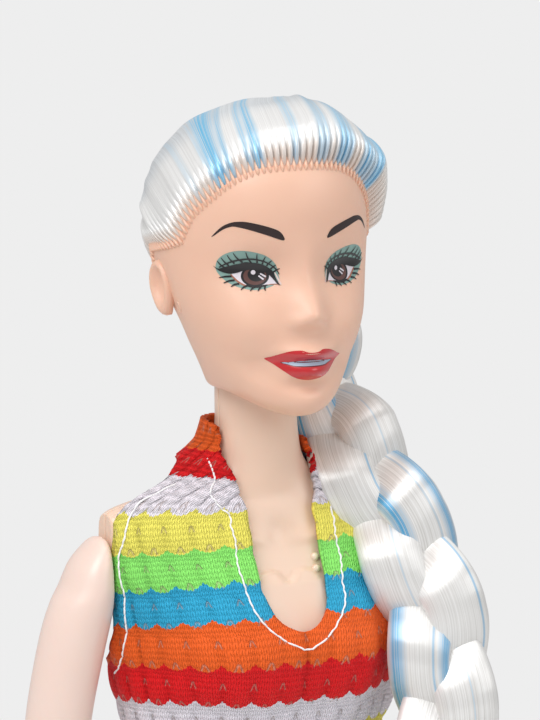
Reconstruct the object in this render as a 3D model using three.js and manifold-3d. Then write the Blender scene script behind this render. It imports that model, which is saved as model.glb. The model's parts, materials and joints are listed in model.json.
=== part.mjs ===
// Fashion doll with a thick side braid and a striped halter playsuit.
// Millimetres, +Z up, the face looks along -Y and the doll's right side is at -X.
import * as THREE from 'three';
import Module from 'manifold-3d';
import { mergeVertices } from 'three/addons/utils/BufferGeometryUtils.js';

// Clearances and walls
const gap = 0.3;
const wall = 1.4;
const overrun = 1;

// Head
const chinDrop = 6;
const headHeight = 36.8;
const headHalfWidth = 13.6;
const headDepth = 15.4;
const lipFullness = 1;
const earHeight = 6.6;
const earDepth = 3.8;
const earStandOut = 1.5;
const earSink = 0.8;

// Hair
const hairThickness = 3.4;
const hairCrownThickness = 2.2;
const hairSideLean = 2.1;
const hairRootThickness = 1;
const hairRiseLength = 3;
const napeRise = 2.1;

// Braid
const braidWidth = 13.6;
const braidDepth = 8.4;
const braidPeriod = 37;
const braidYaw = -0.46;
const strandWidth = 7.8;
const strandDepth = 4.6;
const braidBandHeight = 2.6;
const braidBandRadius = 3.3;
const braidTailLength = 14;

// Torso and neck
const trunkLength = 66.6;
const neckRise = 27.9;
const shoulderHalfWidth = 22;
const chestDepth = 10;
const bustDepth = 4.4;
const bustSpread = 8.2;
const bustDrop = 9.1;
const bustRadius = 6.6;
const neckRadius = 5.25;
const knobRadius = 3.8;
const knobStemRadius = 2.2;
const knobHeight = 4;
const knobStemDepth = 7;

// Arms
const armRadius = 4.3;
const armSeat = 3.4;
const armLeanReach = 5.6;
const upperArmLength = 33.6;
const forearmLength = 30;
const elbowRadius = 3.7;
const elbowTongue = 1.2;
const wristRadius = 2.1;
const handWidth = 6.6;
const foldRoom = THREE.MathUtils.degToRad(42);
const handLength = 17;
const plugRadius = 2.2;
const plugFlangeRadius = 3.2;
const plugFlangeWidth = 1.2;

// Legs
const hipRise = 12;
const thighLength = 86;
const shinLength = 74;
const thighRadius = 8.6;
const crotchHalfWidth = 3.4;
const kneeRadius = 5.6;
const kneeTongue = 1.8;
const calfBack = 0.9;
const ankleZ = 17;
const ankleRadius = 3.3;
const footLength = 23;
const footHalfWidth = 3.9;
const footHeight = 7;
const footHeel = 6.4;
const hipSwingBack = THREE.MathUtils.degToRad(20);
const hipPegRadius = 2;
const hipPegReach = 2.4;
const pinRadius = 0.9;

// Shoes
const soleThickness = 4;
const soleLength = 27;
const soleHalfWidth = 5;
const soleHeel = 8.4;
const shoeTopZ = 15;
const shoeWall = 0.8;

// Clothes
const clothThickness = 0.9;
const clothGap = 0.35;
const armholeInset = 0.5;
const armpitDrop = 7.1;
const necklineDrop = 6.6;
const neckHalfWidth = 5.6;
const strapDrop = 8.1;
const strapWidth = 5.4;
const backDrop = 15.6;
const hemDrop = 17;
const closureHalfWidth = 2.6;
const closureThickness = 0.6;

// Heights of the joints and edges, worked out from the ground up
const kneeZ = ankleZ + shinLength;
const hipZ = kneeZ + thighLength;
const crotchZ = hipZ - hipRise;
const shoulderZ = crotchZ + trunkLength;
const neckTopZ = shoulderZ + neckRise;
const chinZ = neckTopZ - chinDrop;
const elbowZ = shoulderZ - upperArmLength;
const wristZ = elbowZ - forearmLength;
const napeZ = chinZ + napeRise;
const bustZ = shoulderZ - bustDrop;
const armpitZ = shoulderZ - armpitDrop;
const necklineZ = shoulderZ - necklineDrop;
const strapTopZ = neckTopZ - strapDrop;
const backEdgeZ = shoulderZ - backDrop;

// Colours
const skinColour = 0xecbea5;
const torsoColour = 0xf0d2be;
const armColour = 0xf0d7cd;
const hairColour = 0xe9ebef;
const redColour = 0xe1191e;
const whiteColour = 0xf2f0ee;
const blueColour = 0x32a5d2;

// Solid modelling helpers
const weldReach = 1e-4;
const wasm = await Module();
wasm.setup();

function solidOf(geometry) {
  const bare = new THREE.BufferGeometry();
  bare.setAttribute('position', geometry.getAttribute('position'));
  if (geometry.index) {
    bare.setIndex(geometry.index);
  }
  const welded = mergeVertices(bare, weldReach);
  const mesh = new wasm.Mesh({
    numProp: 3,
    vertProperties: new Float32Array(welded.getAttribute('position').array),
    triVerts: new Uint32Array(welded.index.array),
  });
  return new wasm.Manifold(mesh);
}

function geometryOf(solid) {
  const mesh = solid.getMesh();
  const geometry = new THREE.BufferGeometry();
  geometry.setAttribute('position', new THREE.BufferAttribute(mesh.vertProperties, 3));
  geometry.setIndex(new THREE.BufferAttribute(mesh.triVerts, 1));
  return geometry;
}

// Closed skin over a stack of rings that have the same number of points
function loft(rings) {
  const sides = rings[0].length;
  const points = rings.flat();
  const faces = [];
  for (let r = 0; r + 1 < rings.length; r += 1) {
    for (let i = 0; i < sides; i += 1) {
      const j = (i + 1) % sides;
      const a = r * sides + i;
      const b = r * sides + j;
      faces.push(a, b, b + sides, a, b + sides, a + sides);
    }
  }
  for (const [ring, flip] of [[0, true], [rings.length - 1, false]]) {
    const middle = new THREE.Vector3();
    rings[ring].forEach((p) => middle.addScaledVector(p, 1 / sides));
    points.push(middle);
    for (let i = 0; i < sides; i += 1) {
      const a = ring * sides + i;
      const b = ring * sides + (i + 1) % sides;
      faces.push(...(flip ? [b, a, points.length - 1] : [a, b, points.length - 1]));
    }
  }
  const geometry = new THREE.BufferGeometry().setFromPoints(points);
  geometry.setIndex(faces);
  return geometry;
}

// Level ring with its own depth in front and behind
function ovalRing(x, y, z, halfWidth, front, back, sides) {
  const ring = [];
  for (let i = 0; i < sides; i += 1) {
    const angle = (2 * Math.PI * i) / sides;
    const depth = Math.sin(angle) < 0 ? front : back;
    ring.push(new THREE.Vector3(x + halfWidth * Math.cos(angle), y + depth * Math.sin(angle), z));
  }
  return ring;
}

// Smooth value between the rows of a table
function rowAt(rows, t) {
  const place = t * (rows.length - 1);
  const k = Math.min(Math.floor(place), rows.length - 2);
  const f = place - k;
  const before = rows[Math.max(k - 1, 0)];
  const from = rows[k];
  const to = rows[k + 1];
  const after = rows[Math.min(k + 2, rows.length - 1)];
  return from.map((p, c) => {
    const slopeFrom = (to[c] - before[c]) / 2;
    const slopeTo = (after[c] - p) / 2;
    const rise = to[c] - p;
    return p + slopeFrom * f + (3 * rise - 2 * slopeFrom - slopeTo) * f * f
      + (slopeFrom + slopeTo - 2 * rise) * f * f * f;
  });
}

// The same skin moved outwards along its normals, by a length or by a function of the place
function grown(geometry, distance) {
  const skin = mergeVertices(geometry.clone(), weldReach);
  skin.computeVertexNormals();
  const position = skin.getAttribute('position');
  const normal = skin.getAttribute('normal');
  const place = new THREE.Vector3();
  const out = new THREE.Vector3();
  for (let i = 0; i < position.count; i += 1) {
    place.fromBufferAttribute(position, i);
    out.fromBufferAttribute(normal, i);
    place.addScaledVector(out, typeof distance === 'function' ? distance(place) : distance);
    position.setXYZ(i, place.x, place.y, place.z);
  }
  skin.deleteAttribute('normal');
  return skin;
}

function box(x0, x1, y0, y1, z0, z1) {
  const geometry = new THREE.BoxGeometry(x1 - x0, y1 - y0, z1 - z0);
  geometry.translate((x0 + x1) / 2, (y0 + y1) / 2, (z0 + z1) / 2);
  return solidOf(geometry);
}

// Round bar along X
function rod(x0, x1, y, z, radius, sides = 12) {
  const geometry = new THREE.CylinderGeometry(radius, radius, Math.abs(x1 - x0), sides);
  geometry.rotateZ(Math.PI / 2);
  geometry.translate((x0 + x1) / 2, y, z);
  return solidOf(geometry);
}

// Round bar along Z
function post(x, y, z0, z1, radius, sides = 18) {
  const geometry = new THREE.CylinderGeometry(radius, radius, z1 - z0, sides);
  geometry.rotateX(Math.PI / 2);
  geometry.translate(x, y, (z0 + z1) / 2);
  return solidOf(geometry);
}

// Prism along X of an outline given as [y, z] points
function sidePrism(points, halfWidth) {
  const shape = new THREE.Shape(points.map(([y, z]) => new THREE.Vector2(y, z)));
  const geometry = new THREE.ExtrudeGeometry(shape, { depth: 2 * halfWidth, bevelEnabled: false });
  geometry.translate(0, 0, -halfWidth);
  geometry.applyMatrix4(new THREE.Matrix4().set(0, 0, 1, 0, 1, 0, 0, 0, 0, 1, 0, 0, 0, 0, 0, 1));
  return solidOf(geometry);
}

// Prism along Y of an outline given as [x, z] points, from y0 back to y1
function frontPrism(points, y0, y1) {
  const shape = new THREE.Shape(points.map(([x, z]) => new THREE.Vector2(x, z)));
  const geometry = new THREE.ExtrudeGeometry(shape, { depth: y1 - y0, bevelEnabled: false });
  geometry.rotateX(Math.PI / 2);
  geometry.translate(0, y1, 0);
  return solidOf(geometry);
}

// The doll is symmetric in its limbs: side -1 is its right, side 1 its left
function mirrored(geometry) {
  const copy = geometry.clone();
  copy.scale(-1, 1, 1);
  const index = Array.from(copy.index.array);
  for (let i = 0; i < index.length; i += 3) {
    [index[i + 1], index[i + 2]] = [index[i + 2], index[i + 1]];
  }
  copy.setIndex(index);
  return copy;
}

const group = new THREE.Group();

function add(name, solid, color, roughness, metalness = 0) {
  const geometry = solid.isBufferGeometry ? solid : geometryOf(solid);
  const material = new THREE.MeshStandardMaterial({ color, roughness, metalness });
  const mesh = new THREE.Mesh(geometry, material);
  mesh.name = name;
  group.add(mesh);
  return mesh;
}

function addPair(name, solid, color, roughness, metalness = 0) {
  const left = geometryOf(solid);
  add(`${name}_left`, left, color, roughness, metalness);
  add(`${name}_right`, mirrored(left), color, roughness, metalness);
}

// Head
// Rows from under the chin to the crown, as shares of the head's height, depth and half width:
// front height, front depth, half width, side depth, side height, back depth, back height
const headRowShares = [
  [0.080, -0.450, 0.452, -0.010, 0.100, 0.430, 0.155],
  [0.022, -0.680, 0.512, -0.150, 0.070, 0.450, 0.155],
  [-0.008, -0.810, 0.552, -0.235, 0.078, 0.460, 0.162],
  [0.012, -0.930, 0.602, -0.285, 0.110, 0.474, 0.185],
  [0.066, -0.972, 0.665, -0.304, 0.158, 0.494, 0.217],
  [0.134, -0.950, 0.735, -0.294, 0.214, 0.519, 0.261],
  [0.207, -0.958, 0.808, -0.286, 0.277, 0.558, 0.315],
  [0.288, -0.958, 0.880, -0.247, 0.346, 0.640, 0.375],
  [0.380, -0.942, 0.936, -0.169, 0.418, 0.750, 0.440],
  [0.489, -0.920, 0.982, -0.097, 0.505, 0.860, 0.516],
  [0.598, -0.948, 1.000, -0.052, 0.603, 0.925, 0.609],
  [0.707, -0.965, 0.980, -0.030, 0.707, 0.935, 0.707],
  [0.802, -0.920, 0.915, -0.030, 0.802, 0.870, 0.802],
  [0.880, -0.800, 0.785, -0.030, 0.880, 0.720, 0.880],
  [0.950, -0.600, 0.565, -0.040, 0.950, 0.490, 0.950],
  [0.992, -0.310, 0.260, -0.050, 0.992, 0.200, 0.992],
];
// Relief of the face as shares of the head's height: side place, height, side and height
// reach, and how far it stands out
const reliefShares = [
  [0, 0.440, 0.057, 0.109, 0.020],
  [0, 0.361, 0.060, 0.057, 0.041],
  [0, 0.332, 0.049, 0.035, 0.027],
  [0.049, 0.321, 0.026, 0.026, 0.018],
  [0.163, 0.489, 0.098, 0.071, -0.042],
  [0.215, 0.299, 0.095, 0.095, 0.024],
  [0, 0.190, 0.125, 0.084, 0.024],
  [0.147, 0.168, 0.060, 0.076, -0.022],
  [0, 0.046, 0.079, 0.049, 0.016],
];
const lipShares = [
  [0, 0.219, 0.090, 0.023, 0.026],
  [0, 0.189, 0.098, 0.012, -0.013],
  [0, 0.152, 0.071, 0.027, 0.030],
  [0, 0.103, 0.071, 0.027, -0.020],
];

function faceRelief(x, z) {
  let push = 0;
  for (const [list, strength] of [[reliefShares, 1], [lipShares, lipFullness]]) {
    for (const [side, height, sideReach, heightReach, out] of list) {
      const across = (Math.abs(x) - side * headHeight) / (sideReach * headHeight);
      const up = (z - chinZ - height * headHeight) / (heightReach * headHeight);
      push += strength * out * headHeight * Math.exp(-across * across - up * up);
    }
  }
  return push;
}

function headPoint(t, angle, relief) {
  const [frontZ, frontY, width, sideY, sideZ, backY, backZ] = rowAt(headRowShares, t);
  const c = Math.cos(angle);
  const reach = c > 0 ? frontY : backY;
  const level = c > 0 ? frontZ : backZ;
  const x = headHalfWidth * width * Math.sin(angle);
  const y = headDepth * (sideY + (reach - sideY) * Math.abs(c));
  const z = chinZ + headHeight * (sideZ + (level - sideZ) * c * c);
  const push = relief && c > 0 ? faceRelief(x, z) * Math.sqrt(c) : 0;
  return new THREE.Vector3(x, y - push, z);
}

// The rings crowd towards the face, where the relief is
function headSkin(sides, rows, relief, start = 0) {
  const crowding = relief ? 0.55 : 0;
  const rings = [];
  for (let r = 0; r <= rows; r += 1) {
    const ring = [];
    const t = start + ((1 - start) * r) / rows;
    for (let i = 0; i < sides; i += 1) {
      const turn = (2 * Math.PI * i) / sides;
      ring.push(headPoint(t, turn - crowding * Math.sin(turn), relief));
    }
    rings.push(ring);
  }
  return loft(rings);
}

const faceSides = 22;
const faceRows = 22;
const headGeometry = headSkin(faceSides, faceRows, true);
const earX = headHalfWidth * 0.935;
const earY = headDepth * 0.04;
const earZ = chinZ + headHeight * 0.41;

function ear(side) {
  const bowl = new THREE.SphereGeometry(1, 10, 7);
  bowl.scale(earStandOut + earSink, earDepth / 2, earHeight / 2);
  bowl.rotateX(-0.12);
  const scoop = new THREE.SphereGeometry(1, 8, 5);
  scoop.scale(earStandOut, earDepth * 0.3, earHeight * 0.32);
  scoop.translate(earStandOut + earSink, -earDepth * 0.1, earHeight * 0.1);
  const lobeHole = new THREE.CylinderGeometry(earDepth * 0.13, earDepth * 0.13, earHeight, 8);
  lobeHole.rotateZ(Math.PI / 2);
  lobeHole.translate(earHeight / 2 + earStandOut, -earDepth * 0.12, -earHeight * 0.34);
  let solid = solidOf(bowl);
  solid = solid.subtract(solidOf(scoop)).subtract(solidOf(lobeHole));
  const placed = geometryOf(solid);
  placed.translate(earX - earSink, earY, earZ);
  return solidOf(side < 0 ? mirrored(placed) : placed);
}

// The hollow of the head is entered from below by the neck and the stem of its knob
const rimZ = neckTopZ + gap;
const hollowZ = rimZ + wall;
const knobZ = hollowZ + gap;
const hollowSides = 12;
const hollowRows = 7;
const hollowStartShare = 0.28;
const headWall = 1.6 * wall;
const hollowSkin = headSkin(hollowSides, hollowRows, false, hollowStartShare);
const hollow = solidOf(grown(hollowSkin, -headWall)).subtract(
  box(-headDepth, headDepth, -headDepth, headDepth, chinZ - headHeight, hollowZ),
);
const neckBore = post(0, 0, chinZ - headHeight, rimZ, neckRadius + gap);
const stemBore = post(0, 0, neckTopZ, hollowZ + overrun, knobStemRadius + gap);
const knobRoomTop = knobZ + knobHeight + wall;
const knobRoom = post(0, 0, hollowZ, knobRoomTop, knobRadius + wall, 14);
const headShell = solidOf(headGeometry)
  .add(ear(-1))
  .add(ear(1))
  .subtract(hollow)
  .subtract(neckBore)
  .subtract(stemBore)
  .subtract(knobRoom);
add('head_shell', headShell, skinColour, 0.45);

// Hair, rooted behind the hairline and combed back over the crown
const hairTopZ = chinZ + headHeight + 2 * hairThickness;
const hairBackY = headDepth + 2 * hairThickness;
// Side view of the hairline as shares of the head's depth and height
const hairlineShares = [
  [-0.90, 0.85],
  [-0.838, 0.842],
  [-0.792, 0.834],
  [-0.714, 0.802],
  [-0.61, 0.747],
  [-0.448, 0.677],
  [-0.331, 0.58],
  [-0.15, 0.56],
  [0.22, 0.535],
  [0.31, 0.40],
  [0.37, 0.23],
];
const hairline = hairlineShares.map(([y, z]) => [y * headDepth, chinZ + z * headHeight]);
const hairOutline = [
  ...hairline,
  [headDepth * 0.42, napeZ],
  [hairBackY, napeZ],
  [hairBackY, hairTopZ],
  [-hairBackY, hairTopZ],
  [-hairBackY, hairline[0][1]],
];
// The hair rises from its roots over a short way
function hairRise(place) {
  let nearest = Infinity;
  for (let k = 0; k + 1 < hairline.length; k += 1) {
    const from = new THREE.Vector2(...hairline[k]);
    const along = new THREE.Vector2(...hairline[k + 1]).sub(from);
    const reach = new THREE.Vector2(place.y, place.z).sub(from);
    const share = THREE.MathUtils.clamp(reach.dot(along) / along.lengthSq(), 0, 1);
    nearest = Math.min(nearest, reach.addScaledVector(along, -share).length());
  }
  const rise = 1 - Math.exp(-nearest / hairRiseLength);
  const crownShare = THREE.MathUtils.clamp((2 * (place.z - chinZ)) / headHeight - 1, 0, 1);
  const full = THREE.MathUtils.lerp(hairThickness, hairCrownThickness, crownShare)
    + (hairSideLean * place.x) / headHalfWidth;
  return hairRootThickness + (full - hairRootThickness) * rise;
}

const hairSides = 18;
const hairRows = 11;
const hairBase = headSkin(hairSides, hairRows, false);
const hairSkin = solidOf(grown(hairBase, hairRise));
const clearHead = solidOf(grown(headGeometry, gap));
const hairCap = hairSkin
  .intersect(sidePrism(hairOutline, 2 * headHalfWidth))
  .subtract(clearHead);
add('hair_cap', hairCap, hairColour, 0.3);

// Torso, from the crotch to the top of the neck
// Rows as shares: height, half width of the shoulders, depth in front and behind. Heights up to
// 1 are shares of the trunk, from the crotch to the shoulder joint, and above it of the neck.
const torsoRowShares = [
  [0.000, 0.665, -0.52, 0.60],
  [0.085, 0.798, -0.84, 0.98],
  [0.213, 0.836, -0.97, 1.14],
  [0.341, 0.770, -0.96, 0.98],
  [0.468, 0.620, -0.88, 0.74],
  [0.575, 0.575, -0.82, 0.66],
  [0.681, 0.690, -0.85, 0.71],
  [0.787, 0.790, -0.96, 0.79],
  [0.873, 0.860, -1.02, 0.83],
  [0.951, 0.905, -0.98, 0.84],
  [1.035, 0.950, -0.88, 0.80],
  [1.160, 0.985, -0.76, 0.73],
  [1.262, 1.000, -0.66, 0.65],
  [1.323, 0.935, -0.60, 0.60],
  [1.370, 0.720, -0.55, 0.57],
  [1.424, 0.440, -0.53, 0.55],
  [1.512, 0.290, -0.52, 0.53],
  [1.661, 0.242, -0.525, 0.525],
  [1.831, 0.2386, -0.525, 0.525],
  [2.000, 0.2386, -0.525, 0.525],
];

function torsoPoint(t, angle, relief) {
  const [up, width, front, back] = rowAt(torsoRowShares, t);
  const z = up < 1 ? crotchZ + up * trunkLength : shoulderZ + (up - 1) * neckRise;
  const x = shoulderHalfWidth * width * Math.cos(angle);
  const facing = -Math.sin(angle);
  const depth = facing > 0 ? -front : back;
  const y = -chestDepth * depth * facing;
  const across = (Math.abs(x) - bustSpread) / bustRadius;
  const rise = (z - bustZ) / bustRadius;
  const push = relief && facing > 0 ? bustDepth * Math.exp(-across * across - rise * rise) : 0;
  return new THREE.Vector3(x, y - push * Math.sqrt(Math.max(facing, 0)), z);
}

function torsoSkin(sides, rows, relief, start = 0, end = 1) {
  const rings = [];
  for (let r = 0; r <= rows; r += 1) {
    const t = start + ((end - start) * r) / rows;
    const ring = [];
    for (let i = 0; i < sides; i += 1) {
      ring.push(torsoPoint(t, (2 * Math.PI * i) / sides, relief));
    }
    rings.push(ring);
  }
  return loft(rings);
}

const torsoSides = 18;
const torsoRows = 17;
const torsoGeometry = torsoSkin(torsoSides, torsoRows, true);
const shoulderFaceX = shoulderHalfWidth * 0.955;
const farX = 2 * shoulderHalfWidth;
const farY = 3 * chestDepth;
const hipClearZ = hipZ + thighRadius + gap;
// Room for the thighs, which swing forwards to level and a little back
const legSweep = [[-farY, crotchZ - overrun], [-farY, hipClearZ]];
const sweepSteps = 8;
for (let k = 0; k <= sweepSteps; k += 1) {
  const angle = Math.PI / 2 + (hipSwingBack - Math.PI / 2) * (k / sweepSteps);
  const reach = thighRadius + gap;
  legSweep.push([reach * Math.cos(angle), hipZ + reach * Math.sin(angle)]);
}
const [lastY, lastZ] = legSweep.at(-1);
legSweep.push([lastY + farY * Math.sin(hipSwingBack), lastZ - farY * Math.cos(hipSwingBack)]);
const crotchBlock = box(-crotchHalfWidth, crotchHalfWidth, -farY, farY, 0, hipClearZ);
const torsoHollow = solidOf(grown(torsoSkin(14, 9, false, 0.2, 0.79), -wall))
  .intersect(box(-shoulderFaceX + wall, shoulderFaceX - wall, -farY, farY, crotchZ, neckTopZ));
const plugRoomX = shoulderFaceX - wall;
let torso = solidOf(torsoGeometry)
  .intersect(box(-shoulderFaceX, shoulderFaceX, -farY, farY, crotchZ, neckTopZ))
  .subtract(sidePrism(legSweep, farX).subtract(crotchBlock))
  .subtract(torsoHollow)
  .subtract(rod(-plugRoomX, plugRoomX, 0, shoulderZ, plugFlangeRadius + gap, 12))
  .subtract(rod(-farX, farX, 0, shoulderZ, plugRadius + gap, 12))
  .subtract(rod(-farX, farX, 0, hipZ, hipPegRadius + gap, 12));
// Bore for the stem of the neck post
const knobStem = post(0, 0, neckTopZ - knobStemDepth, neckTopZ + overrun, knobStemRadius + gap);
torso = torso.subtract(knobStem);
const torsoFront = torso.intersect(box(-farX, farX, -farY, -gap / 4, crotchZ - overrun, neckTopZ));
const torsoBack = torso.intersect(box(-farX, farX, gap / 4, farY, crotchZ - overrun, neckTopZ));
add('torso_front', torsoFront, torsoColour, 0.35);
add('torso_back', torsoBack, torsoColour, 0.35);

// Neck post: a stem held between the torso shells and a knob inside the head
const neckPostProfile = [
  [0, neckTopZ - knobStemDepth + gap],
  [knobStemRadius, neckTopZ - knobStemDepth + gap],
  [knobStemRadius, knobZ],
  [knobRadius, knobZ],
  [knobRadius, knobZ + knobHeight * 0.3],
  [knobRadius * 0.6, knobZ + knobHeight],
  [0, knobZ + knobHeight],
].map(([radius, z]) => new THREE.Vector2(radius, z));
const neckPost = new THREE.LatheGeometry(neckPostProfile, 14);
neckPost.rotateX(Math.PI / 2);
add('neck_post', solidOf(neckPost), whiteColour, 0.4);

// Limb as a stack of level rings, rows of [height, side place, half width, half depth, back]
function limb(rows, sides, steps) {
  const rings = [];
  for (let k = 0; k <= steps; k += 1) {
    const [z, x, halfWidth, halfDepth, y] = rowAt(rows, k / steps);
    rings.push(ovalRing(x, y, z, halfWidth, halfDepth, halfDepth, sides));
  }
  return solidOf(loft(rings));
}

// Hinge in a limb: side 1 folds towards the back, -1 towards the front
// The notch leaves room for the fold on that side
function foldNotch(z, side, up) {
  const reach = farY * Math.tan(foldRoom);
  return sidePrism([[0, z], [side * farY, z], [side * farY, z + up * reach]], farX);
}

function forkEnd(solid, x, z, radius, halfWidth, tongue, side) {
  return solid
    .subtract(foldNotch(z, side, 1))
    .intersect(box(-farX, farX, -farY, farY, z, neckTopZ))
    .add(rod(x - halfWidth, x + halfWidth, 0, z, radius))
    .subtract(rod(x - tongue - gap, x + tongue + gap, 0, z, radius + gap))
    .subtract(rod(x - farX, x + farX, 0, z, pinRadius + gap, 12));
}

function tongueEnd(solid, x, z, radius, tongue, side) {
  const web = box(x - tongue, x + tongue, -radius / 2, radius / 2, z - 1.3 * radius, z);
  return solid
    .intersect(box(-farX, farX, -farY, farY, -overrun, z))
    .subtract(foldNotch(z, side, -1))
    .subtract(rod(x - farX, x + farX, 0, z, radius + gap))
    .add(web)
    .add(rod(x - tongue, x + tongue, 0, z, radius))
    .subtract(rod(x - farX, x + farX, 0, z, pinRadius + gap, 12));
}

// Arms, drawn for the left side
const armFaceX = shoulderFaceX + gap;
const armX = armFaceX + armSeat;
const elbowX = armX + armLeanReach;
const wristX = elbowX + armLeanReach / 3;
// Shoulder dome as shares of the arm's radius: height, place outside the seat, half width and
// half depth
const shoulderDomeShares = [
  [1.36, 0.16, 0.14, 0.37],
  [1.14, 0.19, 0.35, 0.70],
  [0.64, 0.37, 0.60, 0.98],
  [-0.05, 0.51, 0.80, 1.12],
  [-0.56, 0.67, 0.93, 1.14],
  [-1.45, 0.94, 0.98, 1.09],
];
const upperArmRows = [
  ...shoulderDomeShares.map(([up, out, wide, deep]) => [
    shoulderZ + up * armRadius,
    armFaceX + out * armRadius,
    wide * armRadius,
    deep * armRadius,
    0,
  ]),
  ...[[0.39, 0.98, 1.02], [0.58, 0.95, 0.98], [0.8, 0.88, 0.88]].map(([down, wide, deep]) => [
    shoulderZ - down * upperArmLength,
    armX + down * armLeanReach,
    wide * armRadius,
    deep * armRadius,
    0,
  ]),
  [elbowZ, elbowX, 0.86 * armRadius, elbowRadius, 0],
].reverse();
const elbowHalfWidth = 0.86 * armRadius;
const plugInnerX = shoulderFaceX - wall - gap - plugFlangeWidth;
let upperArm = limb(upperArmRows, 10, 8)
  .intersect(box(armFaceX, farX + armRadius, -farY, farY, 0, neckTopZ))
  .add(rod(plugInnerX, armX, 0, shoulderZ, plugRadius, 12))
  .add(rod(plugInnerX, plugInnerX + plugFlangeWidth, 0, shoulderZ, plugFlangeRadius, 12));
upperArm = forkEnd(upperArm, elbowX, elbowZ, elbowRadius, elbowHalfWidth, elbowTongue, -1);
addPair('upper_arm', upperArm, armColour, 0.4);
const elbowPinReach = elbowHalfWidth - gap;
const elbowPin = rod(elbowX - elbowPinReach, elbowX + elbowPinReach, 0, elbowZ, pinRadius, 12);
addPair('elbow_pin', elbowPin, torsoColour, 0.4);

const forearmRows = [
  [elbowZ, elbowX, 0.88 * elbowHalfWidth, elbowRadius, 0],
  [elbowZ - 0.2 * forearmLength, elbowX, 0.9 * elbowHalfWidth, 1.02 * elbowRadius, 0],
  [elbowZ - 0.5 * forearmLength, (elbowX + wristX) / 2, 0.8 * elbowHalfWidth, 0.9 * elbowRadius, 0],
  [elbowZ - 0.8 * forearmLength, wristX, 0.62 * elbowHalfWidth, 0.72 * elbowRadius, 0],
  [wristZ, wristX, wristRadius, 1.15 * wristRadius, 0],
].reverse();

// Hand with four fingers and a thumb, the palm towards the thigh
const palmLength = 0.48 * handLength;
const palmRows = [
  [wristZ + wristRadius, wristX, wristRadius, 1.15 * wristRadius, 0],
  [wristZ - 0.3 * palmLength, wristX, 0.75 * wristRadius, 0.42 * handWidth, 0],
  [wristZ - 0.7 * palmLength, wristX, 0.68 * wristRadius, 0.5 * handWidth, 0],
  [wristZ - palmLength, wristX, 0.6 * wristRadius, 0.48 * handWidth, 0],
].reverse();
const fingerRadius = handWidth / 8.4;
// Length of each finger and its drop along the hand
const fingerShares = [0.86, 1, 0.95, 0.76];

function finger(y, top, length, radius, lean) {
  const rows = [
    [top, wristX, radius, radius, y],
    [top - 0.5 * length, wristX - lean * 0.5 * length, radius, radius, y],
    [top - 0.9 * length, wristX - lean * length, 0.8 * radius, 0.8 * radius, y],
    [top - length, wristX - lean * length, 0.35 * radius, 0.35 * radius, y],
  ].reverse();
  return limb(rows, 5, 3);
}

let forearm = tongueEnd(
  limb(forearmRows, 10, 4),
  elbowX,
  elbowZ,
  elbowRadius,
  elbowTongue,
  -1,
).add(limb(palmRows, 10, 3));
fingerShares.forEach((share, k) => {
  const y = (k - 1.5) * 2 * fingerRadius;
  const top = wristZ - palmLength + fingerRadius;
  const length = share * (handLength - palmLength);
  forearm = forearm.add(finger(y, top, length, 1.06 * fingerRadius, 0.12));
});
const thumb = geometryOf(finger(0, 0, 0.5 * handLength, 1.2 * fingerRadius, 0));
thumb.translate(-wristX, 0, 0);
thumb.rotateX(-0.5);
thumb.translate(wristX - 0.3 * wristRadius, -0.3 * handWidth, wristZ - 0.2 * palmLength);
forearm = forearm.add(solidOf(thumb));
addPair('forearm', forearm, armColour, 0.4);

// Legs, drawn for the left side
const legFaceX = crotchHalfWidth + gap;
const thighX = legFaceX + 0.96 * thighRadius;
const kneeX = legFaceX + kneeRadius;
const thighDrop = hipZ - kneeZ;
const thighRows = [
  [hipZ, thighX, 0.96 * thighRadius, 0.99 * thighRadius, 0],
  [hipZ - 0.16 * thighDrop, thighX, 0.94 * thighRadius, 0.98 * thighRadius, 0],
  [hipZ - 0.45 * thighDrop, (2 * thighX + kneeX) / 3, 0.84 * thighRadius, 0.9 * thighRadius, 0],
  [hipZ - 0.75 * thighDrop, kneeX, 1.08 * kneeRadius, 1.12 * kneeRadius, 0],
  [hipZ - 0.92 * thighDrop, kneeX, 0.96 * kneeRadius, kneeRadius, 0],
  [kneeZ, kneeX, 0.94 * kneeRadius, kneeRadius, 0],
].reverse();
const kneeHalfWidth = 0.94 * kneeRadius;
const hipBall = new THREE.SphereGeometry(thighRadius, 12, 7);
hipBall.rotateZ(Math.PI / 2);
hipBall.translate(thighX, 0, hipZ);
let thigh = limb(thighRows, 12, 6)
  .add(solidOf(hipBall))
  .intersect(box(legFaceX, farX, -farY, farY, 0, neckTopZ))
  .add(rod(crotchHalfWidth - hipPegReach, thighX, 0, hipZ, hipPegRadius, 12));
thigh = forkEnd(thigh, kneeX, kneeZ, kneeRadius, kneeHalfWidth, kneeTongue, 1);
addPair('thigh', thigh, torsoColour, 0.4);
const kneePinReach = kneeHalfWidth - gap;
const kneePin = rod(kneeX - kneePinReach, kneeX + kneePinReach, 0, kneeZ, pinRadius, 12);
addPair('knee_pin', kneePin, torsoColour, 0.4);

const footBottomZ = soleThickness + gap;
const shinDrop = kneeZ - ankleZ;
const shinRows = [
  [kneeZ, kneeX, 0.96 * kneeHalfWidth, kneeRadius, 0],
  [kneeZ - 0.14 * shinDrop, kneeX, 0.98 * kneeHalfWidth, 1.04 * kneeRadius, 0],
  [kneeZ - 0.34 * shinDrop, kneeX, 1.02 * kneeHalfWidth, 1.08 * kneeRadius, calfBack],
  [kneeZ - 0.6 * shinDrop, kneeX, 0.84 * kneeHalfWidth, 0.86 * kneeRadius, 0.8 * calfBack],
  [kneeZ - 0.88 * shinDrop, kneeX, 1.02 * ankleRadius, 1.04 * ankleRadius, 0],
  [ankleZ, kneeX, ankleRadius, 1.04 * ankleRadius, 0],
  [footBottomZ + ankleRadius, kneeX, ankleRadius, 1.04 * ankleRadius, 0],
].reverse();
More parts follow.
